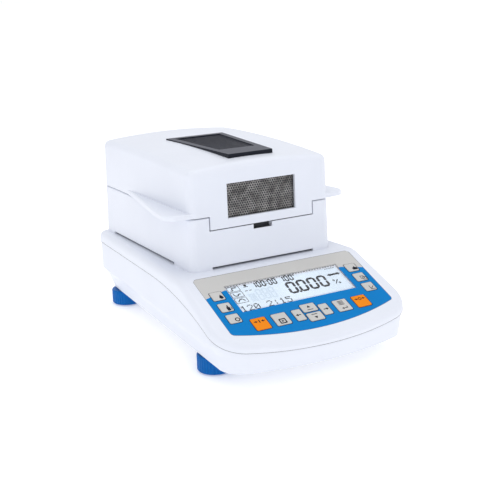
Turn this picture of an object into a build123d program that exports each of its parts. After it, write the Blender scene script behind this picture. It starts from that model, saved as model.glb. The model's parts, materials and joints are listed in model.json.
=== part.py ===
from build123d import *

import os
from math import cos, degrees, radians, sin, sqrt

# Bench moisture analyzer: a weighing base with a sloping keypad, and on it a drying
# chamber whose heated lid swings up on two barrel hinges at the rear.
# Millimetres. X to the right seen from the front, front at -Y, +Z up.
# The origin is at the middle of the footprint, on the surface the feet stand on.

# Weighing base, outside
BASE_REAR_Y = 166.5
BASE_FRONT_Y = -166.5
BASE_REAR_HALF = 88.0
BASE_CORNER_HALF = 104.3
FRONT_ARC_R = 280.0
REAR_ROUND = 8.0
CORNER_ROUND = 31.0
BASE_TOP_Z = 84.0
FLOOR_Z = 18.0
EDGE_ROUND = 7.0
RIDGE_ROUND = 30.0
# The walls turn in below the crease: how far at the side, front corner, rear and front
CREASE_Z = 42.0
WAIST_Z = 34.0
WAIST_TAPER = (5.5, 3.5, 4.5, 0.4)
FOOT_TAPER = (10.5, 7.2, 8.0, 1.7)

# Moulded shells
WALL = 3.0
SHELL_STEP = 0.6
PARTING_GAP = 0.35
TONGUE_FIT = 0.3
TONGUE_T = 1.5
TONGUE_RISE = 3.0
# Side view of the parting line: level at the rear, falling to the front corners
PARTING_REAR_Z = 72.0
PARTING_BREAK_Y = 10.0
PARTING_CORNER_Y = -120.0
PARTING_CORNER_Z = 51.0
PARTING_FRONT_Z = 35.0

# Sloping control panel: v runs down the slope from its upper edge, u out of it
PANEL_TOP_Y = -64.0
PANEL_SLOPE = 22.9
FILM_T = 1.2
FILM_SEAT = 0.2
FILM_HALF = 87.3
FILM_TOP_V = 2.5
FILM_CORNER_V = 82.3
FILM_SAG = 14.5
FILM_ROUND = 4.5
FILM_FIT = 0.15
DISPLAY_HALF = 62.5
DISPLAY_TOP_V = 18.8
DISPLAY_BOTTOM_V = 57.0
DISPLAY_LEDGE = 2.0
KEY_FIT = 0.2
KEY_T = 1.3
KEY_PROUD = 0.5
KEY_TRAVEL = 0.5
KEY_STOP = 0.1
KEY_ROUND = 1.4
STEM_R = 1.5
STEM_HOLE_R = 1.9
BOARD_T = 1.6
BOARD_DEPTH = 8.0
BOARD_HALF = 79.5
BOARD_NECK_HALF = 65.0
BOARD_TOP_V = 10.0
BOARD_NECK_V = 70.0
BOARD_BOTTOM_V = 92.0
BOARD_FIXINGS = [(-70.0, 16.0), (0.0, 13.0), (70.0, 16.0), (-44.0, 64.7), (44.0, 64.7)]
SWITCH_SIZE = 6.0
SWITCH_BUTTON_R = 1.7

SIDE_KEY = (12.0, 11.6)
BIG_KEY = (15.0, 15.6)
ARROW_KEY = (9.4, 14.8)
WIDE_KEY = (15.4, 10.6)
SIDE_KEY_X = 75.0
BIG_ROW_V = 76.2
# name: (x, v, (width, height))
KEYS = {
    "key_left_top": (-SIDE_KEY_X, 30.2, SIDE_KEY),
    "key_left_middle": (-SIDE_KEY_X, 46.7, SIDE_KEY),
    "key_left_bottom": (-SIDE_KEY_X, 62.7, SIDE_KEY),
    "key_right_top": (SIDE_KEY_X, 28.6, SIDE_KEY),
    "key_right_middle": (SIDE_KEY_X, 44.1, SIDE_KEY),
    "key_right_bottom": (SIDE_KEY_X, 59.6, SIDE_KEY),
    "key_orange_left": (-54.7, BIG_ROW_V, BIG_KEY),
    "key_orange_right": (54.7, BIG_ROW_V, BIG_KEY),
    "key_grey_left": (-33.5, BIG_ROW_V, BIG_KEY),
    "key_grey_right": (33.0, BIG_ROW_V, BIG_KEY),
    "key_arrow_left": (-14.8, BIG_ROW_V, ARROW_KEY),
    "key_arrow_right": (14.2, BIG_ROW_V, ARROW_KEY),
    "key_arrow_up": (-0.3, 69.7, WIDE_KEY),
    "key_arrow_down": (-0.3, 82.4, WIDE_KEY),
}

# Levelling feet
FOOT_AT = {
    "front_left": (-77.5, -87.0),
    "front_right": (77.5, -87.0),
    "rear_left": (-66.0, 146.8),
    "rear_right": (66.0, 146.8),
}
WHEEL_R = 17.0
WHEEL_BOTTOM_Z = 1.2
WHEEL_TOP_Z = 17.0
WHEEL_CHAMFER = 2.0
FLUTES = 36
FLUTE_R = 0.9
PAD_R = 11.0
PAD_T = 2.2
SPINDLE_R = 3.0
SPINDLE_TOP_Z = 7.0
COLLAR_R = 7.0
STUD_R = 3.0
STUD_TOP_Z = 33.0
THREAD_FIT = 0.08
FOOT_GAP = 0.3
FOOT_BOSS_R = 6.5
FOOT_BOSS_TOP_Z = 34.0

# Drying chamber tower: one drafted outline shared by the chamber and its lid
TOWER_Y = 57.0
TOWER_HALF = 79.0
TOWER_DEPTH_HALF = 107.2
TOWER_ROUND = 8.0
DRAFT = 0.02
DECK_Z = 134.4
LID_GAP = 1.0
CHAMBER_EDGE = 1.5
PAD_SPAN_HALF = 57.0
SLOT_HEIGHT = 2.4
SIDE_SLOT_Y = (-12.0, 139.0)
WELL_R = 63.0
PAN_Y = 35.0

# Lid
LID_WALL = 2.8
CROWN_Y = 95.0
CROWN_Z = 189.4
CROWN_LONG_R = 1640.0
CROWN_CROSS_R = 705.0
LID_EDGE = 7.0
TAB_HALF = 57.0
TAB_Z = 122.3
TAB_FIT = 1.2
NOTCH_DEPTH = 5.6
FINGER_HALF = 10.5
FINGER_Z = 116.8
FINGER_DEPTH = 6.2
WINDOW_HALF = 37.8
WINDOW_Z = (131.0, 164.4)
WING_T = 5.0
WING_TIP = 100.5
WING_SHOULDER_Y = 0.0
WING_REAR_Y = 102.0
WING_EDGE = 1.8
WING_ROUND = 11.0

# Vent in the lid's top
VENT_FRONT_Y = -30.0
VENT_REAR_Y = 90.0
VENT_FRONT_HALF = 24.5
VENT_REAR_HALF = 33.5
VENT_SPREAD = (VENT_REAR_HALF - VENT_FRONT_HALF) / (VENT_REAR_Y - VENT_FRONT_Y)
VENT_RIM = 2.0
VENT_FRONT_Z = 188.4
VENT_REAR_Z = 190.0
GRILLE_FRONT_Y = -3.0
GRILLE_BORDER = 6.5
GRILLE_SINK = 1.6
GRILLE_T = 1.4
GRILLE_SLOTS = 15

# Hinges
PIVOT_Y = 163.0
KNUCKLE_R = 3.4
HINGE_X = 52.0
KNUCKLE_GAP = 0.3
LID_KNUCKLE_HALF = 6.0
HINGE_HALF = 14.0
PIN_R = 1.5
PIN_FIT = 0.05
LEAF_T = 2.4
LEAF_Y = 157.4
LEAF_FIT = 0.5

# Heating hood inside the lid
SHEET = 1.2
HOOD_HALF = 61.0
HOOD_Y = (-44.4, 104.0)
HOOD_Z = 138.0
HOOD_TOP_Z = 172.0
LAMP_R = 5.0
LAMP_Z = 160.0
LAMP_Y = (5.0, 65.0)
LAMP_HALF = 48.0
HOLDER_SIZE = 12.0
GUARD_Z = 151.0
WIRE_R = 1.0
GUARD_WIRES = 9
PROBE_R = 1.5
PROBE_Z = 146.5

# Weighing system
LINER_R = 60.0
LINER_T = 1.2
LINER_FLOOR_Z = 112.0
LINER_FLANGE_R = 66.0
LINER_BORE_R = 10.0
SUPPORT_Z = 121.5
SUPPORT_T = 2.5
SUPPORT_R = 38.0
HUB_R = 8.0
POST_R = 4.0
TIP_R = 3.0
PAN_R = 45.0
PAN_T = 0.8
PAN_DEPTH = 8.0
LIFTER_INNER_R = 41.0
LIFTER_OUTER_R = 47.5
LIFTER_T = 1.6
LOAD_TRAVEL = 0.3
CELL_HALF = 28.0
CELL_Y = (-10.0, 92.0)
CELL_TOP_Z = 66.0
CARRIER_HALF = 12.0
CARRIER_Z = (36.0, 62.0)
CARRIER_FIT = 0.6

# Inside the base
CHASSIS_Z = 24.0
CHASSIS_T = 5.0
CHASSIS_HALF = 56.0
CHASSIS_Y = (-45.0, 132.0)
SEAT_GAP = 0.2
SCREW_R = 2.0
SCREW_HEAD_R = 3.6
SCREW_HEAD_T = 2.6
POSTS = [(68.0, 128.0), (78.0, -50.0), (45.0, -151.5)]
POST_BODY_R = 4.5

# Rear panel with the sockets
REAR_PANEL_HALF = 68.0
REAR_PANEL_Z = (43.5, 70.5)
REAR_OPENING_HALF = 64.0
REAR_OPENING_Z = (45.5, 68.5)
REAR_PANEL_T = 1.5
PORT_Z = 57.0
PORT_FIT = 0.3
INLET_X = 42.0
SWITCH_X = 14.0
SERIAL_X = -42.0
USB_X = -12.0
ROCKER_TILT = 8.0
ROCKER_PIN_R = 1.0
ROCKER_PIN_DEPTH = 2.5
ROCKER_FIT = 0.6
ROCKER_SIDE_FIT = 0.5
SWITCH_WALL = (1.5, 1.0)
SWITCH_DEPTH = 16.0
SWITCH_PROUD = 1.6

CENTRE = Align.CENTER
LOW = Align.MIN
HIGH = Align.MAX


def box(x, y, z):
    """Box between two limits along each axis."""
    size = (x[1] - x[0], y[1] - y[0], z[1] - z[0])
    return Pos(x[0], y[0], z[0]) * Box(*size, align=(LOW, LOW, LOW))


def rod(x, y, z0, z1, radius):
    """Upright cylinder from z0 to z1."""
    return Pos(x, y, z0) * Cylinder(radius, z1 - z0, align=(CENTRE, CENTRE, LOW))


def rod_x(x0, x1, y, z, radius):
    """Cylinder along X."""
    return Pos(x0, y, z) * Rot(0, 90, 0) * Cylinder(radius, x1 - x0, align=(CENTRE, CENTRE, LOW))


def rod_y(x, y0, y1, z, radius):
    """Cylinder along Y."""
    return Pos(x, y0, z) * Rot(-90, 0, 0) * Cylinder(radius, y1 - y0, align=(CENTRE, CENTRE, LOW))


def both_sides(shape):
    """The shape and its mirror image across the middle plane."""
    return shape + mirror(shape, Plane.YZ)


def group(solids):
    """Separate solids kept side by side in one node."""
    return Compound(children=[piece for shape in solids for piece in shape.solids()])


# Weighing base

def base_outline(z, inset, taper=(0, 0, 0, 0)):
    """Plan of the base at height z, drawn in by inset and by a taper at side, corner, rear and front."""
    side, corner, rear, front = taper
    rear_half = BASE_REAR_HALF - inset - side
    corner_half = BASE_CORNER_HALF - inset - corner
    rear_y = BASE_REAR_Y - inset - rear
    front_y = BASE_FRONT_Y + inset + front
    arc_r = FRONT_ARC_R - inset - front
    corner_y = front_y + arc_r - sqrt(arc_r**2 - corner_half**2)
    sides = Polyline((-corner_half, corner_y), (-rear_half, rear_y), (rear_half, rear_y), (corner_half, corner_y))
    bow = ThreePointArc((corner_half, corner_y), (0, front_y), (-corner_half, corner_y))
    face = make_face((sides + bow).edges())
    face = fillet([v for v in face.vertices() if v.Y > 0], REAR_ROUND - inset - rear / 4)
    at_front = [v for v in face.vertices() if v.Y < 0 and abs(v.X) > corner_half - 1]
    return Pos(0, 0, z) * fillet(at_front, CORNER_ROUND - inset - corner)


def panel_frame():
    """Location of the control panel: x across, y up the slope, z out of the panel."""
    tilt = radians(PANEL_SLOPE)
    plane = Plane(origin=(0, PANEL_TOP_Y, BASE_TOP_Z), x_dir=(1, 0, 0), z_dir=(0, -sin(tilt), cos(tilt)))
    return plane.location


PANEL = panel_frame()


def on_panel(x, v, u=0.0):
    """A place on the panel: x across, v down the slope, u out of its surface."""
    return PANEL * Pos(x, -v, u)


def base_form(inset):
    """Solid of the whole base, drawn in all round by inset."""
    top_z = BASE_TOP_Z - inset
    floor_z = FLOOR_Z + inset

    block = extrude(base_outline(floor_z, inset), top_z - floor_z)
    block -= on_panel(0, 0, -inset) * Box(300, 300, 100, align=(CENTRE, CENTRE, LOW))
    ridge = [
        edge for edge in block.edges()
        if abs(edge.center().X) < 1 and abs(edge.center().Z - top_z) < 1 and abs(edge.center().Y - PANEL_TOP_Y) < 3
    ]
    block = fillet(ridge, RIDGE_ROUND)
    upper_edges = [edge for face in block.faces() if face.normal_at(face.center()).Z > 0.9 for edge in face.edges()]
    rim = [edge for edge in upper_edges if sum(other.is_same(edge) for other in upper_edges) == 1]
    block = fillet(rim, max(EDGE_ROUND - inset, 2.0))

    foot = base_outline(floor_z, inset, FOOT_TAPER)
    waist = base_outline(WAIST_Z, inset, WAIST_TAPER)
    flare_z = 2 * CREASE_Z - WAIST_Z
    flare = base_outline(flare_z, inset, [-share for share in WAIST_TAPER])
    return block & (loft([foot, waist, flare], ruled=True) + extrude(flare, BASE_TOP_Z))


def above_parting(shift=0.0):
    """Everything above the parting line of the two shells, moved up by shift."""
    rear_y = BASE_REAR_Y + 20
    front_y = BASE_FRONT_Y - 20
    level = Line((rear_y, PARTING_REAR_Z), (PARTING_BREAK_Y, PARTING_REAR_Z))
    fall = Spline(
        (PARTING_BREAK_Y, PARTING_REAR_Z),
        (PARTING_CORNER_Y, PARTING_CORNER_Z),
        (BASE_FRONT_Y, PARTING_FRONT_Z),
        (front_y, PARTING_FRONT_Z - 4),
        tangents=[(-1, 0), (-1, -0.2)],
    )
    roof = Polyline((front_y, PARTING_FRONT_Z - 4), (front_y, 140), (rear_y, 140), (rear_y, PARTING_REAR_Z))
    profile = make_face((level + fall + roof).edges())
    return Pos(0, 0, shift) * extrude(Plane.YZ * profile, 120, both=True)


def film_outline(grow=0.0):
    """Outline of the printed film on the panel, in panel coordinates."""
    half = FILM_HALF + grow
    top = -(FILM_TOP_V - grow)
    corner = -(FILM_CORNER_V + grow)
    sides = Polyline((half, corner), (half, top), (-half, top), (-half, corner))
    bow = ThreePointArc((-half, corner), (0, corner - FILM_SAG), (half, corner))
    face = make_face((sides + bow).edges())
    return fillet(face.vertices(), FILM_ROUND + grow)


def key_outline(size, grow=0.0):
    """Rounded rectangle of one key."""
    return RectangleRounded(size[0] + 2 * grow, size[1] + 2 * grow, KEY_ROUND + grow)


def display_outline(grow=0.0):
    """Display opening, in panel coordinates."""
    height = DISPLAY_BOTTOM_V - DISPLAY_TOP_V
    middle = (DISPLAY_BOTTOM_V + DISPLAY_TOP_V) / 2
    return Pos(0, -middle) * Rectangle(2 * (DISPLAY_HALF + grow), height + 2 * grow)


def chamber_screw_places():
    """Where the chamber is screwed down, inside its corners."""
    x = TOWER_HALF - 12
    return [(x, TOWER_Y - TOWER_DEPTH_HALF + 13), (x, TOWER_Y + TOWER_DEPTH_HALF - 17)]


def upper_cover(outside, inside):
    shell = (outside - inside) & above_parting()
    wall_u = -WALL
    # posts that take the screws from the floor, and stand-offs for the keypad board
    for x, y in POSTS:
        post = both_sides(rod(x, y, FLOOR_Z + WALL + 3.5, BASE_TOP_Z, POST_BODY_R))
        shell += post & inside
    for x, v in BOARD_FIXINGS:
        standoff = on_panel(x, v, -BOARD_DEPTH) * Cylinder(3, BOARD_DEPTH - 1, align=(CENTRE, CENTRE, LOW))
        shell += standoff & inside
    for x, y in POSTS:
        shell -= both_sides(rod(x, y, FLOOR_Z, FLOOR_Z + WALL + 20, SCREW_R + 0.1))
    # recess for the film, display opening and key stem holes
    shell -= PANEL * extrude(film_outline(FILM_FIT), -(FILM_T + FILM_SEAT))
    shell -= PANEL * extrude(display_outline(-DISPLAY_LEDGE), wall_u * 2)
    for x, v, size in KEYS.values():
        shell -= on_panel(x, v) * Cylinder(STEM_HOLE_R, 4 * WALL)
    # openings under the drying chamber
    shell -= rod(0, PAN_Y, BASE_TOP_Z - 2 * WALL, BASE_TOP_Z + 1, 2 * HUB_R)
    shell -= box((-20, 20), (112, 130), (BASE_TOP_Z - 2 * WALL, BASE_TOP_Z + 1))
    for x, y in chamber_screw_places():
        shell -= both_sides(rod(x, y, BASE_TOP_Z - 2 * WALL, BASE_TOP_Z + 1, SCREW_R + 0.2))
    return shell


def lower_housing(outside, inside):
    shell = (outside - inside) - above_parting(-PARTING_GAP)
    inner = SHELL_STEP + WALL
    # tongue that enters the upper cover
    ring = base_form(inner - TONGUE_FIT) - base_form(inner - TONGUE_FIT + TONGUE_T)
    band = above_parting(-2 * TONGUE_RISE) - above_parting(TONGUE_RISE)
    tongue = (ring & band) - box((-120, 120), (150, 170), (0, 120))
    clear_posts = [both_sides(rod(x, y, 0, 90, POST_BODY_R + 1)) for x, y in POSTS]
    for post in clear_posts:
        tongue -= post
    shell += tongue
    solid_floor = outside & box((-110, 110), (-170, 170), (FLOOR_Z, 60))
    for x, y in FOOT_AT.values():
        shell += rod(x, y, FLOOR_Z, FOOT_BOSS_TOP_Z, FOOT_BOSS_R) & solid_floor
    floor = FLOOR_Z + inner
    for x, y in POSTS:
        boss = both_sides(rod(x, y, FLOOR_Z + 1, FLOOR_Z + WALL + 3.5 - SEAT_GAP, POST_BODY_R))
        shell += boss & solid_floor
    for x, y in CHASSIS_PILLARS:
        shell += both_sides(rod(x, y, FLOOR_Z + 1, CHASSIS_Z - SEAT_GAP, 6))
    for x, y in MAIN_BOARD_FIXINGS:
        shell += both_sides(rod(x, y, floor - 1, MAIN_BOARD_Z - SEAT_GAP, 3.5))
    for x, y in FOOT_AT.values():
        shell -= rod(x, y, FLOOR_Z - 1, FOOT_BOSS_TOP_Z + 1, STUD_R + THREAD_FIT)
    for x, y in POSTS:
        shell -= both_sides(rod(x, y, FLOOR_Z - 1, FLOOR_Z + 20, SCREW_R + 0.2))
        shell -= both_sides(rod(x, y, FLOOR_Z - 1, FLOOR_Z + SCREW_HEAD_T + 0.4, SCREW_HEAD_R + 0.3))
    # opening for the rear panel, and cooling slots in the floor
    shell -= box(
        (-REAR_OPENING_HALF, REAR_OPENING_HALF), (BASE_REAR_Y - 2 * WALL, BASE_REAR_Y + 1), REAR_OPENING_Z
    )
    for row in range(FLOOR_SLOTS):
        y = FLOOR_SLOT_Y + FLOOR_SLOT_PITCH * row
        shell -= box((-26, 26), (y, y + FLOOR_SLOT_PITCH / 2), (FLOOR_Z - 1, floor + 1))
    return shell


CHASSIS_PILLARS = [(46.0, -36.0), (46.0, 122.0)]
MAIN_BOARD_Z = 29.0
MAIN_BOARD_FIXINGS = [(50.0, -132.0), (50.0, -70.0)]
FLOOR_SLOTS = 6
FLOOR_SLOT_Y = 20.0
FLOOR_SLOT_PITCH = 9.0


# Control panel

def keypad_overlay():
    film = extrude(film_outline(), -FILM_T)
    film -= extrude(display_outline(FILM_FIT), -2 * FILM_T)
    for x, v, size in KEYS.values():
        film -= Pos(x, -v) * extrude(key_outline(size, KEY_FIT), -2 * FILM_T)
    return PANEL * film


def display_window():
    return PANEL * extrude(display_outline(), -FILM_T)


def lcd_module():
    glass_top = -(FILM_T + FILM_SEAT)
    glass = Pos(0, 0, glass_top) * extrude(display_outline(-DISPLAY_LEDGE - 0.3), -WALL)
    body = Pos(0, 0, -WALL - SEAT_GAP) * extrude(display_outline(2.5), -(BOARD_DEPTH - WALL - 2 * SEAT_GAP))
    return PANEL * (glass + body)


def keypad_board():
    """Board with a switch soldered under each key, its button just clear of the pressed key."""
    half, neck = BOARD_HALF, BOARD_NECK_HALF
    outline = Polyline(
        (-half, -BOARD_TOP_V), (half, -BOARD_TOP_V), (half, -BOARD_NECK_V), (neck, -BOARD_BOTTOM_V),
        (-neck, -BOARD_BOTTOM_V), (-half, -BOARD_NECK_V), close=True,
    )
    board = PANEL * (Pos(0, 0, -BOARD_DEPTH) * extrude(make_face(outline), -BOARD_T))
    button_top = stem_bottom() + KEY_TRAVEL + KEY_STOP
    for x, v, size in KEYS.values():
        seat = on_panel(x, v, -BOARD_DEPTH)
        board += seat * Box(SWITCH_SIZE, SWITCH_SIZE, BOARD_DEPTH - button_top - 0.8, align=(CENTRE, CENTRE, LOW))
        board += seat * Cylinder(SWITCH_BUTTON_R, BOARD_DEPTH - button_top, align=(CENTRE, CENTRE, LOW))
    return board


def key_bottom():
    """Depth of a key's underside below the panel surface."""
    return KEY_T - KEY_PROUD


def stem_bottom():
    """Depth of the end of a key's stem."""
    return WALL + 0.6


def key(x, v, size):
    cap = extrude(key_outline(size), -KEY_T)
    cap = chamfer(cap.faces().sort_by(Axis.Z)[-1].edges(), 0.3)
    stem = Cylinder(STEM_R, stem_bottom() - key_bottom() + 0.5, align=(CENTRE, CENTRE, HIGH))
    stem = Pos(0, 0, -KEY_T + 0.5) * stem
    return on_panel(x, v, KEY_PROUD) * (cap + stem)


# Levelling feet

def foot_pad(x, y):
    pad = Cylinder(PAD_R, PAD_T, align=(CENTRE, CENTRE, LOW))
    pad = chamfer(pad.edges().group_by(Axis.Z)[0], 0.6)
    return Pos(x, y, 0) * (pad + Cylinder(SPINDLE_R, SPINDLE_TOP_Z, align=(CENTRE, CENTRE, LOW)))


def foot_wheel(x, y):
    disc = Circle(WHEEL_R)
    disc -= PolarLocations(WHEEL_R + 0.35, FLUTES) * Circle(FLUTE_R)
    height = WHEEL_TOP_Z - WHEEL_BOTTOM_Z
    wheel = extrude(Pos(0, 0, WHEEL_BOTTOM_Z) * disc, height)
    turned = Pos(0, 0, WHEEL_BOTTOM_Z) * Cylinder(WHEEL_R + 1, height, align=(CENTRE, CENTRE, LOW))
    wheel &= chamfer(turned.edges().filter_by(GeomType.CIRCLE), WHEEL_CHAMFER)
    wheel += rod(0, 0, WHEEL_TOP_Z - 1, FLOOR_Z - FOOT_GAP, COLLAR_R)
    wheel += rod(0, 0, WHEEL_TOP_Z - 1, STUD_TOP_Z, STUD_R)
    wheel -= rod(0, 0, 0, PAD_T + FOOT_GAP, PAD_R + FOOT_GAP)
    wheel -= rod(0, 0, 0, SPINDLE_TOP_Z + FOOT_GAP, SPINDLE_R + THREAD_FIT)
    return Pos(x, y, 0) * wheel


# Drying chamber

def tower_outline(z, inset=0.0):
    """Plan of the chamber and lid at height z."""
    lean = DRAFT * (z - BASE_TOP_Z) + inset
    return Pos(0, TOWER_Y, z) * RectangleRounded(
        2 * (TOWER_HALF - lean), 2 * (TOWER_DEPTH_HALF - lean), TOWER_ROUND - inset
    )


def tower_block(z0, z1, inset=0.0):
    return loft([tower_outline(z0, inset), tower_outline(z1, inset)])


def tower_front(z):
    """Y of the tower's front face at height z."""
    return TOWER_Y - TOWER_DEPTH_HALF + DRAFT * (z - BASE_TOP_Z)


def hinge_relief(z0, z1):
    """Room for the barrel hinges in the rear walls."""
    half = HINGE_HALF + 1.5
    return both_sides(box((HINGE_X - half, HINGE_X + half), (LEAF_Y - 0.3, PIVOT_Y + 20), (z0, z1)))


def chamber_body():
    shell = tower_block(BASE_TOP_Z, DECK_Z)
    shell = fillet(shell.faces().sort_by(Axis.Z)[-1].edges(), CHAMBER_EDGE)
    front = tower_front(DECK_Z)
    notch_half = TAB_HALF + TAB_FIT
    notch_z = TAB_Z - LID_GAP
    notch = box((-notch_half, notch_half), (front - 5, front + NOTCH_DEPTH), (notch_z, DECK_Z + 5))
    finger = box((-FINGER_HALF, FINGER_HALF), (front - 5, front + FINGER_DEPTH), (FINGER_Z, DECK_Z + 5))
    around_notch = box(
        (-notch_half - WALL, notch_half + WALL), (front - 5, front + NOTCH_DEPTH + WALL), (notch_z - WALL, DECK_Z)
    )
    around_finger = box(
        (-FINGER_HALF - WALL, FINGER_HALF + WALL), (front - 5, front + FINGER_DEPTH + WALL),
        (FINGER_Z - WALL, DECK_Z),
    )
    cavity = tower_block(BASE_TOP_Z - 1, DECK_Z - WALL, WALL) - around_notch - around_finger
    for x, y in chamber_screw_places():
        cavity -= both_sides(rod(x, y, BASE_TOP_Z - 2, DECK_Z, POST_BODY_R))
    shell = shell - cavity - notch - finger
    shell -= rod(0, PAN_Y, BASE_TOP_Z, DECK_Z + 1, WELL_R)
    # the corners stand on the base, with air slots between them
    slot_z = (BASE_TOP_Z - 1, BASE_TOP_Z + SLOT_HEIGHT)
    far = BASE_REAR_Y + 20
    shell -= box((-PAD_SPAN_HALF, PAD_SPAN_HALF), (-far, far), slot_z)
    shell -= box((-far, far), SIDE_SLOT_Y, slot_z)
    for x, y in chamber_screw_places():
        shell -= both_sides(rod(x, y, BASE_TOP_Z - 1, BASE_TOP_Z + 16, SCREW_R + 0.1))
    shell -= hinge_relief(DECK_Z - KNUCKLE_R - 0.4, DECK_Z + 5)
    shell -= rod(*LEVEL_AT, DECK_Z - 5, DECK_Z + 1, LEVEL_R + 0.2)
    return shell


LEVEL_AT = (60.5, -26.0)
LEVEL_R = 7.0


def level_indicator():
    """Bubble level set in the deck."""
    cup = rod(*LEVEL_AT, DECK_Z - 5, DECK_Z, LEVEL_R) + rod(*LEVEL_AT, DECK_Z, DECK_Z + 0.9, LEVEL_R + 1)
    return cup - rod(*LEVEL_AT, DECK_Z - 2.5, DECK_Z + 2, LEVEL_R - 1.5)


def chamber_liner():
    """Drawn sheet-metal well that the sample pan hangs in."""
    outer = LINER_R + LINER_T
    profile = Polyline(
        (LINER_BORE_R, LINER_FLOOR_Z), (outer, LINER_FLOOR_Z), (outer, DECK_Z), (LINER_FLANGE_R, DECK_Z),
        (LINER_FLANGE_R, DECK_Z + LINER_T), (LINER_R, DECK_Z + LINER_T), (LINER_R, LINER_FLOOR_Z + LINER_T),
        (LINER_BORE_R, LINER_FLOOR_Z + LINER_T), close=True,
    )
    turned = revolve(Plane.XZ * make_face(profile), Axis.Z)
    return Pos(0, PAN_Y, 0) * turned


def lid_buffers():
    """Rubber studs that the closed lid rests on."""
    studs = []
    for x, y in chamber_screw_places():
        for side in (-1, 1):
            stud = rod(side * x, y, DECK_Z, HOOD_Z - SEAT_GAP, 3.5)
            studs.append(stud)
    return group(studs)


def knuckle(x0, x1):
    tube = rod_x(x0, x1, PIVOT_Y, DECK_Z, KNUCKLE_R)
    return tube - rod_x(x0 - 1, x1 + 1, PIVOT_Y, DECK_Z, PIN_R + PIN_FIT)


def hinge_leaf(x0, x1, direction, reach):
    """Leaf from the knuckle into the wall: direction -1 goes down, 1 goes up."""
    near = DECK_Z + direction * LEAF_FIT
    bridge_end = DECK_Z + direction * (LEAF_FIT + LEAF_T)
    leaf_end = DECK_Z + direction * reach
    bridge = box((x0, x1), (LEAF_Y, PIVOT_Y), (min(near, bridge_end), max(near, bridge_end)))
    leaf = box((x0, x1), (LEAF_Y, LEAF_Y + LEAF_T), (min(near, leaf_end), max(near, leaf_end)))
    bore = rod_x(x0 - 1, x1 + 1, PIVOT_Y, DECK_Z, PIN_R + PIN_FIT)
    return knuckle(x0, x1) + ((bridge + leaf) - bore)


def hinge_brackets():
    """Fixed halves of the two hinges."""
    inner = LID_KNUCKLE_HALF + KNUCKLE_GAP
    joined = hinge_leaf(HINGE_X - HINGE_HALF, HINGE_X - inner, -1, 22)
    joined += hinge_leaf(HINGE_X + inner, HINGE_X + HINGE_HALF, -1, 22)
    plate_z = (DECK_Z - 22, DECK_Z - 6)
    joined += box((HINGE_X - HINGE_HALF, HINGE_X + HINGE_HALF), (LEAF_Y, LEAF_Y + LEAF_T), plate_z)
    return group([joined, mirror(joined, Plane.YZ)])


def lid_hinge_leaves():
    """Moving halves of the two hinges."""
    leaf = hinge_leaf(HINGE_X - LID_KNUCKLE_HALF, HINGE_X + LID_KNUCKLE_HALF, 1, 22)
    plate_z = (DECK_Z + 6, DECK_Z + 22)
    leaf += box((HINGE_X - HINGE_HALF, HINGE_X + HINGE_HALF), (LEAF_Y, LEAF_Y + LEAF_T), plate_z)
    return group([leaf, mirror(leaf, Plane.YZ)])


def hinge_pins():
    pin = rod_x(HINGE_X - HINGE_HALF, HINGE_X + HINGE_HALF, PIVOT_Y, DECK_Z, PIN_R)
    return group([pin, mirror(pin, Plane.YZ)])


# Lid

def crown(inset=0.0):
    """Barrel that gives the lid its doubly curved top."""
    reach = 200.0
    top = CROWN_Z - inset
    drop = reach**2 / (2 * CROWN_LONG_R)
    axis_z = top - CROWN_CROSS_R
    y0, y1 = CROWN_Y - reach, CROWN_Y + reach
    arc = ThreePointArc((y0, top - drop), (CROWN_Y, top), (y1, top - drop))
    rest = Polyline((y1, top - drop), (y1, axis_z), (y0, axis_z), (y0, top - drop))
    profile = Plane.YZ * make_face((arc + rest).edges())
    axis = Axis((0, 0, axis_z), (0, 1, 0))
    half_turn = degrees_of(TOWER_HALF * 1.5 / CROWN_CROSS_R)
    start = profile.rotate(axis, -half_turn)
    return revolve(start, axis, 2 * half_turn)


def degrees_of(angle):
    return degrees(angle)


def lid_form(inset=0.0):
    block = tower_block(TAB_Z - 10, CROWN_Z + 10, inset) & crown(inset)
    top = block.faces().sort_by(Axis.Z)[-1]
    return fillet(top.edges(), max(LID_EDGE - inset, 2.0))


def wing():
    """Plan of the grip flange on the lid's right side."""
    root = TOWER_HALF - 6
    front = tower_front(DECK_Z)
    tip = (WING_TIP, front + 4.5)
    end = (TOWER_HALF - 1.5, WING_REAR_Y)
    nose = Polyline((root, WING_REAR_Y), (root, front + 1.2), tip)
    sweep = Bezier(tip, (WING_TIP - 2, WING_SHOULDER_Y), (TOWER_HALF + 3, WING_REAR_Y - 45), end)
    face = make_face((nose + sweep + Line(end, (root, WING_REAR_Y))).edges())
    return fillet([v for v in face.vertices() if v.X > WING_TIP - 1], WING_ROUND)


def vent_outline(inset=0.0, front_y=VENT_FRONT_Y):
    """Tapering plan of the vent, from front_y to its rear edge."""
    y0, y1 = front_y + inset, VENT_REAR_Y - inset
    half0 = VENT_FRONT_HALF + VENT_SPREAD * (y0 - VENT_FRONT_Y) - inset
    half1 = VENT_REAR_HALF + VENT_SPREAD * (y1 - VENT_REAR_Y) - inset
    return make_face(Polyline((-half0, y0), (half0, y0), (half1, y1), (-half1, y1), close=True))


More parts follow.
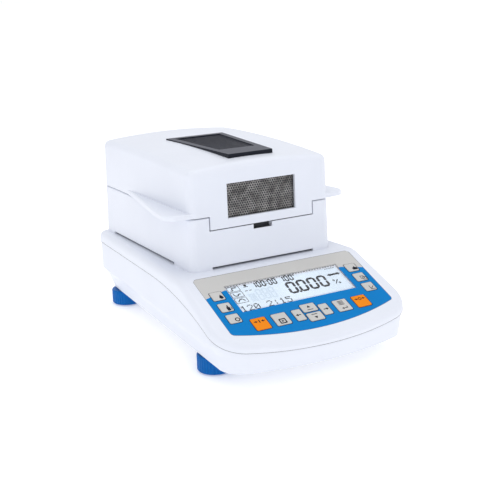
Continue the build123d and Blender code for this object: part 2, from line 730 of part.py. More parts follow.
def lid_shell():
    shell = lid_form() - lid_form(LID_WALL)
    lid_z = DECK_Z + LID_GAP
    far = BASE_REAR_Y + 20
    below = box((-far, far), (-far, far), (TAB_Z - 20, lid_z))
    tab = box((-TAB_HALF, TAB_HALF), (-far, 0), (TAB_Z, lid_z))
    shell -= below - tab
    grip = extrude(Pos(0, 0, lid_z) * wing(), WING_T)
    outer_edges = [edge for edge in grip.faces().sort_by(Axis.Z)[-1].edges() if edge.center().X > TOWER_HALF]
    grip = fillet(outer_edges, WING_EDGE)
    grip -= tower_block(lid_z - 5, lid_z + 20, 1.0)
    shell += both_sides(grip)
    for x, y in chamber_screw_places():
        boss = both_sides(rod(x, y, HOOD_Z + SHEET + SEAT_GAP, CROWN_Z, POST_BODY_R))
        shell += boss & lid_form(LID_WALL - 1)
    shell -= box((-WINDOW_HALF, WINDOW_HALF), (-far, 0), WINDOW_Z)
    shell -= extrude(Pos(0, 0, CROWN_Z - 20) * vent_outline(VENT_RIM), 30)
    shell -= hinge_relief(lid_z - 1, DECK_Z + KNUCKLE_R + 0.4)
    return shell


def vent_grille():
    """Slotted field let into the vent cover."""
    top = VENT_FRONT_Z - GRILLE_SINK
    plate = extrude(Pos(0, 0, top - GRILLE_T) * vent_outline(GRILLE_BORDER - 1, GRILLE_FRONT_Y - GRILLE_BORDER), GRILLE_T)
    first = GRILLE_FRONT_Y + 2
    pitch = (VENT_REAR_Y - GRILLE_BORDER - 2 - first) / GRILLE_SLOTS
    for number in range(GRILLE_SLOTS):
        y = first + pitch * number
        half = VENT_FRONT_HALF + VENT_SPREAD * (y - VENT_FRONT_Y) - GRILLE_BORDER - 1.5
        for x in (-half / 2, half / 2):
            plate -= box((x - half / 2 + 0.8, x + half / 2 - 0.8), (y, y + pitch * 0.6), (top - 2 * GRILLE_T, top + 1))
    return plate


def vent_cover():
    """Black vent moulding: surround, wedge-shaped visor at the front and sunk grille."""
    slab = extrude(Pos(0, 0, CROWN_Z - 12) * vent_outline(), 20)
    side_view = Polyline(
        (VENT_FRONT_Y - 5, CROWN_Z - 14), (VENT_FRONT_Y - 5, VENT_FRONT_Z), (VENT_REAR_Y + 5, VENT_REAR_Z),
        (VENT_REAR_Y + 5, CROWN_Z - 14), close=True,
    )
    wedge = extrude(Plane.YZ * make_face(side_view), 60, both=True)
    cap = (slab & wedge) - crown()
    plug = extrude(Pos(0, 0, CROWN_Z - 11) * vent_outline(VENT_RIM + FILM_FIT), 20) & wedge
    plug -= extrude(Pos(0, 0, CROWN_Z - 12) * vent_outline(VENT_RIM + 2), 9)
    opening = vent_outline(GRILLE_BORDER, GRILLE_FRONT_Y - GRILLE_BORDER)
    return cap + plug - extrude(Pos(0, 0, CROWN_Z - 20) * opening, 40) + vent_grille()


def heating_hood():
    """Folded sheet-metal box over the sample, with a flange that closes the lid below."""
    flange = extrude(tower_outline(HOOD_Z, LID_WALL + 0.5), SHEET)
    flange -= box((-120, 120), (LEAF_Y - 0.6, 200), (HOOD_Z - 1, HOOD_Z + 5))
    flange -= box((-WINDOW_HALF - 4, WINDOW_HALF + 4), (-120, HOOD_Y[0]), (HOOD_Z - 1, HOOD_Z + 5))
    walls = box((-HOOD_HALF, HOOD_HALF), HOOD_Y, (HOOD_Z, HOOD_TOP_Z))
    inner_y = (HOOD_Y[0] + SHEET, HOOD_Y[1] - SHEET)
    inner = box((-HOOD_HALF + SHEET, HOOD_HALF - SHEET), inner_y, (HOOD_Z - 1, HOOD_TOP_Z - SHEET))
    hood = flange + walls - inner
    window_z = (HOOD_Z + SHEET, WINDOW_Z[1])
    hood -= box((-WINDOW_HALF, WINDOW_HALF), (HOOD_Y[0] - 5, HOOD_Y[0] + 5), window_z)
    for number in range(7):
        y = 2 + 12 * number
        hood -= box((-20, 20), (y, y + 5), (HOOD_TOP_Z - 5, HOOD_TOP_Z + 5))
    return hood


def reflector():
    """Bright sheet with one trough over each lamp."""
    troughs = []
    for y in LAMP_Y:
        arc = ThreePointArc((y - 22, LAMP_Z - 3), (y, LAMP_Z + 9), (y + 22, LAMP_Z - 3))
        back = ThreePointArc((y + 22 + SHEET, LAMP_Z - 3), (y, LAMP_Z + 9 + SHEET), (y - 22 - SHEET, LAMP_Z - 3))
        lips = Line(arc @ 1, back @ 0) + Line(back @ 1, arc @ 0)
        troughs.append(extrude(Plane.YZ * make_face((arc + back + lips).edges()), LAMP_HALF - 2, both=True))
    return group(troughs)


def heater_lamps():
    """Two tubular lamps across the chamber."""
    tubes = []
    for y in LAMP_Y:
        tube = rod_x(-LAMP_HALF, LAMP_HALF, y, LAMP_Z, LAMP_R)
        tubes.append(chamfer(tube.edges().filter_by(GeomType.CIRCLE), 1.5))
    return group(tubes)


def lamp_holders():
    """Ceramic sockets at the ends of the lamps."""
    blocks = []
    for y in LAMP_Y:
        for side in (-1, 1):
            x0, x1 = sorted((side * (LAMP_HALF + 0.1), side * (HOOD_HALF - SHEET - SEAT_GAP)))
            half = HOLDER_SIZE / 2
            block = box((x0, x1), (y - half, y + half), (LAMP_Z - half, LAMP_Z + half))
            blocks.append(block)
    return group(blocks)


def lamp_guard():
    """Wire guard between the lamps and the sample."""
    y0 = HOOD_Y[0] + SHEET + SEAT_GAP
    y1 = HOOD_Y[1] - SHEET - SEAT_GAP
    front = y0 + GLASS_T + SEAT_GAP
    half = HOOD_HALF - SHEET - SEAT_GAP
    pitch = 2 * (half - 6) / (GUARD_WIRES - 1)
    guard = box((-half, half), (front, front + 3), (GUARD_Z - WIRE_R, GUARD_Z + WIRE_R))
    guard += box((-half, half), (y1 - 3, y1), (GUARD_Z - WIRE_R, GUARD_Z + WIRE_R))
    for number in range(GUARD_WIRES):
        x = -half + 6 + pitch * number
        guard += rod_y(x, front + 1, y1 - 1, GUARD_Z + WIRE_R, WIRE_R)
    return guard


GLASS_T = 2.0


def window_glass():
    y0 = HOOD_Y[0] + SHEET + SEAT_GAP
    return box((-WINDOW_HALF - 3, WINDOW_HALF + 3), (y0, y0 + GLASS_T), (HOOD_Z + SHEET + 0.3, WINDOW_Z[1] + 4))


MESH_T = 0.7
MESH_PITCH = 6.0
MESH_HOLE = 3.6


def window_mesh():
    """Perforated sheet behind the window opening."""
    front = tower_front(WINDOW_Z[1]) + LID_WALL + SEAT_GAP
    x_half = WINDOW_HALF + 3
    z0, z1 = WINDOW_Z[0] - 2.5, WINDOW_Z[1] + 3
    sheet = box((-x_half, x_half), (front, front + MESH_T), (z0, z1))
    across = int(2 * WINDOW_HALF / MESH_PITCH)
    up = int((WINDOW_Z[1] - WINDOW_Z[0]) / MESH_PITCH)
    middle = (0, front, (WINDOW_Z[0] + WINDOW_Z[1]) / 2)
    face = Plane(origin=middle, x_dir=(1, 0, 0), z_dir=(0, -1, 0)).location
    holes = Sketch() + [spot * Rectangle(MESH_HOLE, MESH_HOLE) for spot in GridLocations(MESH_PITCH, MESH_PITCH, across, up)]
    cutter = face * extrude(holes, 2 * MESH_T, both=True)
    return sheet - cutter


def temperature_sensor():
    """Probe that reaches over the sample from the rear wall of the hood."""
    rear = HOOD_Y[1] - SHEET
    probe = rod_y(0, PAN_Y + 10, rear - SEAT_GAP, PROBE_Z, PROBE_R)
    nut = rod_y(0, rear - 6, rear - SEAT_GAP, PROBE_Z, 2 * PROBE_R)
    return probe + nut


# Weighing system

def pan_support():
    """Three-armed cross on the weighing post."""
    hub = rod(0, PAN_Y, SUPPORT_Z - 5, SUPPORT_Z + SUPPORT_T, HUB_R)
    for number in range(3):
        arm = box((0, SUPPORT_R), (-3, 3), (SUPPORT_Z, SUPPORT_Z + SUPPORT_T))
        hub += Pos(0, PAN_Y, 0) * Rot(0, 0, 90 + 120 * number) * arm
    return hub - rod(0, PAN_Y, SUPPORT_Z - 6, SUPPORT_Z - 1, TIP_R + PIN_FIT)


def weighing_post():
    """Moving part of the weigh cell, with the post that rises into the drying chamber."""
    half = CARRIER_HALF
    post = box((-half, half), (PAN_Y - half, PAN_Y + half), CARRIER_Z)
    shoulder = SUPPORT_Z - 5 - SEAT_GAP
    post += rod(0, PAN_Y, CARRIER_Z[1] - 1, shoulder, POST_R)
    post += rod(0, PAN_Y, shoulder - 1, SUPPORT_Z - 1.2, TIP_R)
    return post + rod(0, PAN_Y, LINER_FLOOR_Z - 8, LINER_FLOOR_Z - 5, HUB_R + 4)


def weigh_cell():
    """Cast block of the weigh cell, with the pocket that its moving part hangs in."""
    bottom = CHASSIS_Z + CHASSIS_T
    block = box((-CELL_HALF, CELL_HALF), CELL_Y, (bottom, CELL_TOP_Z))
    block = chamfer(block.edges().filter_by(Axis.Z), 4)
    reach = CARRIER_HALF + CARRIER_FIT
    pocket_z = (CARRIER_Z[0] - LOAD_TRAVEL - CARRIER_FIT, CELL_TOP_Z + 1)
    block -= box((-reach, reach), (PAN_Y - reach, PAN_Y + reach), pocket_z)
    block -= box((-CELL_HALF - 1, CELL_HALF + 1), (CELL_Y[0] + 8, CELL_Y[0] + 22), (bottom + 10, CELL_TOP_Z - 8))
    block -= box((-16, 16), (PAN_Y + 24, CELL_Y[1] - 6), (bottom + 8, CELL_TOP_Z + 1))
    return block


def pan_lifter():
    """Flat ring with a finger tab, for lifting the hot sample pan."""
    z0 = SUPPORT_Z + SUPPORT_T + SEAT_GAP
    ring = rod(0, PAN_Y, z0, z0 + LIFTER_T, LIFTER_OUTER_R) - rod(0, PAN_Y, z0 - 1, z0 + 5, LIFTER_INNER_R - 10)
    tab = box((-6, 6), (PAN_Y - LINER_R + 3, PAN_Y - LIFTER_OUTER_R + 2), (z0, z0 + LIFTER_T))
    return ring + tab


def sample_pan():
    """Shallow round pan with a rolled rim."""
    z0 = SUPPORT_Z + SUPPORT_T + LIFTER_T + 2 * SEAT_GAP
    inner = PAN_R - 1.5 - PAN_T
    profile = Polyline(
        (0, z0), (inner - 1, z0), (inner + PAN_T, z0 + 2), (inner + PAN_T, z0 + PAN_DEPTH - PAN_T),
        (PAN_R, z0 + PAN_DEPTH - PAN_T), (PAN_R, z0 + PAN_DEPTH), (inner, z0 + PAN_DEPTH), (inner, z0 + 2 + PAN_T / 2),
        (inner - 1.4, z0 + PAN_T), (0, z0 + PAN_T), close=True,
    )
    return Pos(0, PAN_Y, 0) * revolve(Plane.XZ * make_face(profile), Axis.Z)


# Inside the base

def chassis_plate():
    plate = box((-CHASSIS_HALF, CHASSIS_HALF), CHASSIS_Y, (CHASSIS_Z, CHASSIS_Z + CHASSIS_T))
    plate = fillet(plate.edges().filter_by(Axis.Z), 6)
    for x, y in CHASSIS_PILLARS:
        plate -= both_sides(rod(x, y, 0, 90, SCREW_R + 0.2))
    return plate


def main_board():
    board = box((-54, 54), (-136, -66), (MAIN_BOARD_Z, MAIN_BOARD_Z + BOARD_T))
    top = MAIN_BOARD_Z + BOARD_T
    chips = [(-20, -110, 14, 14, 2), (14, -96, 20, 10, 2.5), (-36, -84, 12, 8, 4), (30, -120, 16, 8, 6), (0, -72, 40, 6, 7)]
    for x, y, width, depth, height in chips:
        board += Pos(x, y, top - 0.1) * Box(width, depth, height, align=(CENTRE, CENTRE, LOW))
    for x, y in MAIN_BOARD_FIXINGS:
        board -= both_sides(rod(x, y, 0, 90, 1.7))
    return board


def power_supply():
    """Board with transformer, capacitors and relay beside the weigh cell."""
    z0 = CHASSIS_Z + CHASSIS_T + SEAT_GAP
    board = box((31, 55), (-5, 95), (z0 + 3, z0 + 3 + BOARD_T))
    for y in (0, 90):
        board += rod(43, y, z0, z0 + 3.5, 2.5)
    top = z0 + 3 + BOARD_T - 0.1
    board += Pos(43, 18, top) * Box(20, 28, 22, align=(CENTRE, CENTRE, LOW))
    for y in (42, 56):
        board += rod(43, y, top, top + 20, 6)
    board += Pos(43, 78, top) * Box(18, 14, 15, align=(CENTRE, CENTRE, LOW))
    return board


def heater_driver():
    """Finned heat sink with the switch for the lamps."""
    z0 = CHASSIS_Z + CHASSIS_T + SEAT_GAP
    sink = box((-55, -31), (0, 84), (z0, z0 + 5))
    for number in range(6):
        x = -55 + 4.4 * number
        sink += box((x, x + 2), (0, 84), (z0 + 4, z0 + 24))
    return sink


# Rear panel

def rear_face():
    """Y of the rear panel's outer face."""
    return BASE_REAR_Y - SHELL_STEP - WALL - SEAT_GAP


def rear_panel():
    y = rear_face()
    plate = box((-REAR_PANEL_HALF, REAR_PANEL_HALF), (y - REAR_PANEL_T, y), REAR_PANEL_Z)
    for x, z, width, height in PORTS:
        grown = PORT_FIT
        plate -= box(
            (x - width / 2 - grown, x + width / 2 + grown), (y - 5, y + 1),
            (z - height / 2 - grown, z + height / 2 + grown),
        )
    return plate


# x, z, body width and height
PORT_INLET = (INLET_X, PORT_Z, 26.8, 19.6)
PORT_SWITCH = (SWITCH_X, PORT_Z, 19.0, 12.8)
PORT_SERIAL = (SERIAL_X, PORT_Z, 19.0, 10.6)
PORT_USB_A = (USB_X, PORT_Z + 4.5, 13.2, 6.2)
PORT_USB_B = (USB_X, PORT_Z - 5.0, 11.6, 9.0)
PORTS = [PORT_INLET, PORT_SWITCH, PORT_SERIAL, PORT_USB_A, PORT_USB_B]


def port_body(port, depth, flange, proud):
    """Socket body through the panel with a flange on its outer face."""
    x, z, width, height = port
    y = rear_face()
    body = box((x - width / 2, x + width / 2), (y - depth, y + proud), (z - height / 2, z + height / 2))
    half_w, half_h = width / 2 + flange[0], height / 2 + flange[1]
    return body + box((x - half_w, x + half_w), (y, y + proud), (z - half_h, z + half_h))


def power_inlet():
    """Mains inlet with its shroud cavity and three pins."""
    x, z, width, height = PORT_INLET
    body = port_body(PORT_INLET, 22, (1.8, 1.4), 2.4)
    y = rear_face() + 2.4
    cavity = box((x - 12, x + 12), (y - 15, y + 1), (z - 8, z + 8))
    cavity -= Pos(x - 12, y - 7, z - 8) * Rot(0, 45, 0) * Box(5, 30, 5)
    cavity -= Pos(x + 12, y - 7, z - 8) * Rot(0, 45, 0) * Box(5, 30, 5)
    body -= cavity
    for dx, dz in ((-7, 0), (7, 0), (0, -4)):
        body += box((x + dx - 1, x + dx + 1), (y - 16, y - 4), (z + dz - 2, z + dz + 2))
    return body


def rocker_axis():
    """Middle of the rocker's pivot pin, which runs upward."""
    return (SWITCH_X, rear_face() - ROCKER_PIN_DEPTH, PORT_Z)


def power_switch():
    """Bezel of the rocker switch, with a bore for the rocker's pin in its upper and lower walls."""
    x, z, width, height = PORT_SWITCH
    body = port_body(PORT_SWITCH, SWITCH_DEPTH, (1.2, 1.2), SWITCH_PROUD)
    outer = rear_face() + SWITCH_PROUD
    half_width, half_height = width / 2 - SWITCH_WALL[0], height / 2 - SWITCH_WALL[1]
    body -= box((x - half_width, x + half_width), (outer - 9, outer + 1), (z - half_height, z + half_height))
    px, py, pz = rocker_axis()
    return body - rod(px, py, pz - height / 2 - 1, pz + height / 2 + 1, ROCKER_PIN_R + PIN_FIT)


def rocker():
    """Rocker on its pin, at rest with its right end pressed in."""
    width, height = PORT_SWITCH[2:]
    half_length = width / 2 - SWITCH_WALL[0] - ROCKER_FIT
    half_height = height / 2 - SWITCH_WALL[1] - ROCKER_SIDE_FIT
    profile = Polyline(
        (-half_length, -1.5), (half_length, -1.5), (half_length, 2.6), (0, 1.8), (-half_length, 2.6), close=True
    )
    slab = extrude(make_face(profile), half_height, both=True)
    pin = Cylinder(ROCKER_PIN_R, height - SWITCH_WALL[1])
    return Pos(*rocker_axis()) * Rot(0, 0, -ROCKER_TILT) * (slab + pin)


def data_ports():
    """Serial socket and two universal serial sockets."""
    serial = port_body(PORT_SERIAL, 12, (5.8, 1.0), 1.2)
    x, z = SERIAL_X, PORT_Z
    y = rear_face() + 1.2
    serial -= box((x - 8.2, x + 8.2), (y - 7, y + 1), (z - 4, z + 4))
    usb_a = port_body(PORT_USB_A, 14, (0.8, 0.8), 1.0)
    usb_a -= box((USB_X - 6, USB_X + 6), (y - 9, y + 1), (PORT_USB_A[1] - 0.2, PORT_USB_A[1] + 2.4))
    usb_b = port_body(PORT_USB_B, 14, (0.8, 0.0), 1.0)
    usb_b -= box((USB_X - 4.2, USB_X + 4.2), (y - 9, y + 1), (PORT_USB_B[1] - 3.6, PORT_USB_B[1] + 3.4))
    return group([serial, usb_a, usb_b])


# Fasteners

def screw(x, y, head_z, head_end_z, tip_z):
    """Plain screw: its head between two heights, and its shank up or down to tip_z."""
    low, high = sorted((head_z, tip_z))
    return rod(x, y, min(head_z, head_end_z), max(head_z, head_end_z), SCREW_HEAD_R) + rod(x, y, low, high, SCREW_R)


def screws():
    """Screws of the shells, the chassis and the drying chamber."""
    pieces = []
    for side in (-1, 1):
        for x, y in POSTS:
            head = FLOOR_Z + 0.4
            pieces.append(screw(side * x, y, head, head + SCREW_HEAD_T, FLOOR_Z + 20))
        for x, y in CHASSIS_PILLARS:
            top = CHASSIS_Z + CHASSIS_T
            pieces.append(screw(side * x, y, top + SCREW_HEAD_T, top, CHASSIS_Z))
        for x, y in chamber_screw_places():
            under = BASE_TOP_Z - WALL
            pieces.append(screw(side * x, y, under - SCREW_HEAD_T, under, BASE_TOP_Z + 14))
    return group(pieces)


def build():
    """Every node of the analyzer by name."""
    cover_outside, cover_inside = base_form(0), base_form(WALL)
    housing_outside, housing_inside = base_form(SHELL_STEP), base_form(SHELL_STEP + WALL)
    nodes = {
        "lower_housing": lower_housing(housing_outside, housing_inside),
        "upper_cover": upper_cover(cover_outside, cover_inside),
        "keypad_overlay": keypad_overlay(),
        "display_window": display_window(),
        "lcd_module": lcd_module(),
        "keypad_board": keypad_board(),
        "main_board": main_board(),
        "chassis_plate": chassis_plate(),
        "weigh_cell": weigh_cell(),
        "weighing_post": weighing_post(),
        "pan_support": pan_support(),
        "pan_lifter": pan_lifter(),
        "sample_pan": sample_pan(),
        "power_supply": power_supply(),
        "heater_driver": heater_driver(),
        "rear_panel": rear_panel(),
        "power_inlet": power_inlet(),
        "power_switch": power_switch(),
        "power_rocker": rocker(),
        "data_ports": data_ports(),
        "chamber_body": chamber_body(),
        "chamber_liner": chamber_liner(),
        "level_indicator": level_indicator(),
        "lid_buffers": lid_buffers(),
        "hinge_brackets": hinge_brackets(),
        "hinge_pins": hinge_pins(),
        "lid_shell": lid_shell(),
        "lid_hinge_leaves": lid_hinge_leaves(),
        "heating_hood": heating_hood(),
        "reflector": reflector(),
        "heater_lamps": heater_lamps(),
        "lamp_holders": lamp_holders(),
        "lamp_guard": lamp_guard(),
        "temperature_sensor": temperature_sensor(),
        "window_glass": window_glass(),
        "window_mesh": window_mesh(),
        "vent_cover": vent_cover(),
        "screws": screws(),
    }
    for name, (x, v, size) in KEYS.items():
        nodes[name] = key(x, v, size)
    for corner, (x, y) in FOOT_AT.items():
        nodes["foot_pad_" + corner] = foot_pad(x, y)
        nodes["foot_wheel_" + corner] = foot_wheel(x, y)
    return nodes


os.makedirs("parts", exist_ok=True)
for node, shape in build().items():
    export_step(shape, "parts/" + node + ".step")
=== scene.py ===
import json
import math

import bmesh
import bpy
from mathutils import Matrix, Vector


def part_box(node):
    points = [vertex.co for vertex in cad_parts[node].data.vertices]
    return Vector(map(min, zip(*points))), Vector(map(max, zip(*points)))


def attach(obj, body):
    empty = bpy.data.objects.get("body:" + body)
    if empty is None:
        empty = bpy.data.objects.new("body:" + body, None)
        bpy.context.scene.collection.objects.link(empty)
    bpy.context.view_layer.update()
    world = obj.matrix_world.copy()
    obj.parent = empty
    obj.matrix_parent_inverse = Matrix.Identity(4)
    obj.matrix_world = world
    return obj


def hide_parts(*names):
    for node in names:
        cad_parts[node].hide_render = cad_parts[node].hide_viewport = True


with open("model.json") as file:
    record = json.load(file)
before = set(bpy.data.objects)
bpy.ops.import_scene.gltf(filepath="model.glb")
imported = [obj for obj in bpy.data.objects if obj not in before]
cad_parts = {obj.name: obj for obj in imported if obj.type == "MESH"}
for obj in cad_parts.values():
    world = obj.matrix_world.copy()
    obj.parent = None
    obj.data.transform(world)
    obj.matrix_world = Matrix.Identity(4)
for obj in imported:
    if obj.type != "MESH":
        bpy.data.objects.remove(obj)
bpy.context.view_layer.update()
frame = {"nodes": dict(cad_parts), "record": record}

MM = 0.001

# Camera, fitted to the photograph: angles in degrees, place in metres
CAMERA_AT = Vector((-0.4546, -0.8259, 0.3431))
CAMERA_AZIMUTH = -29.5
CAMERA_ELEVATION = 15.45
CAMERA_ROLL = -1.87
CAMERA_LENS = 69.0
CAMERA_SENSOR = 36.0

# Studio: each light's place and size in metres, and power in watts
LIGHTS = {
    "key_light": ((-0.9, -1.3, 1.7), 1.8, 5.5),
    "fill_light": ((1.6, -0.6, 1.2), 1.8, 1.5),
    "top_light": ((0.1, 0.3, 2.0), 1.8, 9.0),
}
LIGHTS_AIM = Vector((0, 0, 0.1))
SKY_COLOUR = (0.975, 0.98, 1.0, 1)
SKY_HORIZON = 1.03
SKY_ABOVE = 0.82
SKY_FADE = 0.4
FLOOR_SIZE = 60
FLOOR_COLOUR = (0.93, 0.93, 0.94)
FLOOR_GLOW = 0.32

# Control panel, in millimetres: x across, v down the slope, u out of its surface
PANEL_TOP_Y = -64.0
PANEL_TOP_Z = 84.0
PANEL_SLOPE = math.radians(22.9)
PANEL_DOWN = (0.0, -math.cos(PANEL_SLOPE), -math.sin(PANEL_SLOPE))
PANEL_UP = Vector((0.0, -math.sin(PANEL_SLOPE), math.cos(PANEL_SLOPE)))
PRINT_U = 0.02
PRINT_T = 0.04
KEY_TOP_U = 0.5
LCD_U = -1.38

# Grey band of the film: its lower edge, which falls away beyond BAND_X
BAND_V = 24.6
BAND_X = 65.0
BAND_FALL = 0.3

# Outline of the film, to tell its outer edges from those of its openings
FILM_EDGE_HALF = 86.6
FILM_EDGE_TOP = 3.2
FILM_EDGE_BOTTOM = 81.0
FILM_EDGE_SAG = 14.5
# Radius of the painted shade line in the gap round the film
FILM_GAP_SHADE_R = 0.16

# Colours, linear
WHITE = (0.745, 0.775, 0.850)
BLUE = (0.0, 0.195, 0.540)
GREY = (0.56, 0.555, 0.54)
ORANGE = (0.85, 0.245, 0.008)
FOOT_BLUE = (0.0, 0.125, 0.430)
INK = (0.012, 0.012, 0.02)
WHITE_INK = (0.82, 0.83, 0.85)
LCD_INK = (0.003, 0.005, 0.012)
LCD_GHOST = (0.62, 0.74, 0.86)
LCD_PAPER = (0.70, 0.81, 0.92)
SLATE = (0.029, 0.034, 0.051)
# Painted highlight on the vent's raised rim
SLATE_PAINTED_HIGHLIGHT = (0.050, 0.054, 0.078)
# Painted shade on the vent's sides
SLATE_PAINTED_SHADE = (0.004, 0.006, 0.014)
MESH_DARK = (0.12, 0.116, 0.112)
# Painted reflection on the window's mesh
MESH_PAINTED_REFLECTION = (0.35, 0.342, 0.333)
BOARD_GREEN = (0.01, 0.11, 0.04)
TRACK_GREEN = (0.02, 0.20, 0.08)
SOLDER = (0.62, 0.50, 0.22)

# Printed film reflects little
PRINT_SHINE = 0.06

# Mouldings and prints: roughness, size and depth of the grain in millimetres, drift of shade
MOULDED = {
    "housing": dict(colour=WHITE, rough=0.40, grain=0.6, depth=0.01, shade=0.012),
    "black_plastic": dict(colour=(0.018, 0.018, 0.022), rough=0.45, shade=0.1),
    "rubber": dict(colour=(0.022, 0.022, 0.022), rough=0.8, grain=1.2, depth=0.05, shade=0.1),
    "ceramic": dict(colour=(0.74, 0.70, 0.62), rough=0.5, grain=2.0, depth=0.03, shade=0.05),
    "shade": dict(colour=(0.035, 0.036, 0.045), rough=0.7, shade=0.1),
    # Painted shade in narrow gaps: the base's parting line, round the film and under the lid's tab
    "gap_shade": dict(colour=(0.16, 0.165, 0.18), rough=0.7, shade=0.1),
    "key_grey": dict(colour=GREY, rough=0.42, grain=0.5, depth=0.008, Specular_IOR_Level=PRINT_SHINE),
    "key_orange": dict(colour=ORANGE, rough=0.42, grain=0.5, depth=0.008, Specular_IOR_Level=PRINT_SHINE),
    "foot_blue": dict(
        colour=FOOT_BLUE, rough=0.38, grain=0.6, depth=0.01, shade=0.05, Specular_IOR_Level=0.15,
    ),
    "ink": dict(colour=INK, rough=0.5, shade=0.2, Specular_IOR_Level=PRINT_SHINE),
    "lcd_ink": dict(colour=LCD_INK, rough=0.5, shade=0.1, Specular_IOR_Level=PRINT_SHINE),
    "lcd_ghost": dict(colour=LCD_GHOST, rough=0.35, shade=0.02),
    "white_ink": dict(colour=WHITE_INK, rough=0.5, shade=0.03),
    "level_liquid": dict(colour=(0.45, 0.62, 0.05), rough=0.1, shade=0.05, Transmission_Weight=0.6),
}

# Metals: roughness, stretch of the brushed lines, size and depth of the grain in millimetres
METALS = {
    "cast_aluminium": dict(colour=(0.62, 0.63, 0.64), rough=0.48, stretch=(1, 1, 1), grain=1.5, depth=0.06),
    "steel": dict(colour=(0.60, 0.61, 0.62)),
    "bright_reflector": dict(colour=(0.90, 0.90, 0.88), rough=0.16, stretch=(6, 1, 1), depth=0.004),
}

# Display, in millimetres from its upper left corner, with v downwards
SEGMENTS = {"0": "abcdef", "1": "bc", "8": "abcdefg"}
DIGIT_LEAN = 0.05
BIG_NUMBER = dict(text="0000", x=59.7, v=11.5, step=11.65, width=7.4, height=14.5, stroke=2.6)
BIG_POINT = (69.4, 26.2, 1.3)
SMALL_NUMBERS = (("100", 27.9, 1.4), ("00", 45.2, 1.4), ("100", 58.6, 1.1))
SMALL_DIGIT = dict(step=5.1, width=3.0, height=7.4, stroke=1.4)
SMALL_COLON = ((43.0, 3.6, 0.55), (43.0, 6.4, 0.55))
SMALL_RING = (74.4, 2.0, 1.1, 0.5)
GHOST_NUMBER = dict(text="888", x=26.0, v=12.0, step=6.8, width=4.4, height=14.0, stroke=1.7)
GHOST_BLOCK = ((17.0, 15.5), (24.0, 15.5), (24.0, 26.5), (17.0, 26.5))
DOT_LINE = "120 2:15"
DOT_LINE_X = 1.2
DOT_LINE_RISE = 9.0
DOT_PITCH = 1.14
DOT_SHARE = 0.93
DOTS = {
    "0": (14, 17, 19, 21, 25, 17, 14), "1": (4, 12, 4, 4, 4, 4, 14), "2": (14, 17, 1, 2, 4, 8, 31),
    "5": (31, 16, 30, 1, 1, 17, 14), ":": (0, 4, 4, 0, 4, 4, 0), " ": (0, 0, 0, 0, 0, 0, 0),
}
BORDER_INSET = 0.5
ICON_AT = (7.6, 5.0)
ICON_STEP = 8.3
ICON_STROKE = 1.1
ICON_FRAME = ((6.4, 3.7, 0.8), (5.9, 3.2, 0.5))
ICON_CURVES = (
    ((-3.6, 1.8), (-1.2, 1.8), (-1.2, -1.6), (3.8, -1.6)),
    ((-3.6, -1.8), (-2.4, 1.6), (0.4, 1.6), (1.2, -0.4), (3.8, -0.4)),
    ((-3.6, 1.8), (-0.8, -1.6), (1.6, -1.6), (3.8, 1.2)),
)

# Two-headed arrow and percent sign, with x measured back from the display's right edge
ARROW_AT = (10.0, 12.4)
ARROW_HALF = 4.4
ARROW_WIDTH = 2.4
ARROW_HEAD = (4.2, 3.4, 2.1)
PERCENT_STROKE = ((15.4, 26.0), (10.6, 20.2))
PERCENT_RINGS = ((15.2, 20.8), (10.8, 25.4))
PERCENT_R = (1.3, 0.55)

# Signs on the keys
SIGN_SCALE = 1.2
SIGN_STROKE = 0.6
OUTLINE_GAP = 0.25
OUTLINE_WIDTH = 0.5

# Window of the lid
MESH_PITCH = 2.6
MESH_HOLE = 1.12
# Painted shade: a dark sheet behind the mesh, its gap and its thickness
WINDOW_SHADE_GAP = 0.15
WINDOW_SHADE_T = 0.15

# Grille of the vent, which is narrower at its front
VENT_PLATE_Z = 186.8
# Height above the plate where the rim's painted highlight starts
VENT_RIM_RISE = 1.0
VENT_FIELD_Y = (-2.0, 83.0)
VENT_FIELD_HALF = (19.5, 26.0)
RIB_PITCH = 1.9
RIB_WIDTH = 0.85
RIB_RISE = (1.1, 2.2)
RIB_SUNK = 0.1

# Painted shade: dark sheets in the finger recess and under the lid's tab
SHADE_SHEET_T = 0.1
RECESS_HALF = 10.4
RECESS_Y = (-48.4, -43.0)
RECESS_Z = (116.8, 121.2)
NOTCH_X = (10.6, 58.0)
NOTCH_REAR_Y = -43.7
NOTCH_Z = 121.3

# Painted shade along the parting line of the base, and where its outer wall is
GAP_SHADE_R = 0.17
SIDE_HALF_REAR = 86.0
SIDE_HALF_FRONT = 104.0
SEAM_BAND = 3.4
FRONT_BAND = 45.0

# Parts of a unit normal that count as facing down, facing sideways and lying in the panel
FACES_DOWN = -0.4
FACES_SIDEWAYS = 0.3
IN_PANEL = 0.9
OUTWARD = 0.05

# Bubble level: radii, and depths below its top
LIQUID_R = 5.4
LIQUID_DEPTH = (3.3, 0.5)
LEVEL_RING_R = (2.6, 2.3)
LEVEL_RING_DEPTH = (0.49, 0.45)
BUBBLE_R = 1.5
BUBBLE_SHIFT = (0.4, -0.3)
BUBBLE_DEPTH = (0.49, 0.46)

# Mains rocker: its pivot, and its face that rises to both ends
ROCKER_TILT = math.radians(-8.0)
ROCKER_AT = (14.0, 160.2, 57.0)
ROCKER_FACE = 1.8
ROCKER_RISE = 0.108
ROCKER_MARK_X = 4.0
ROCKER_MARK_U = 0.01


# Materials

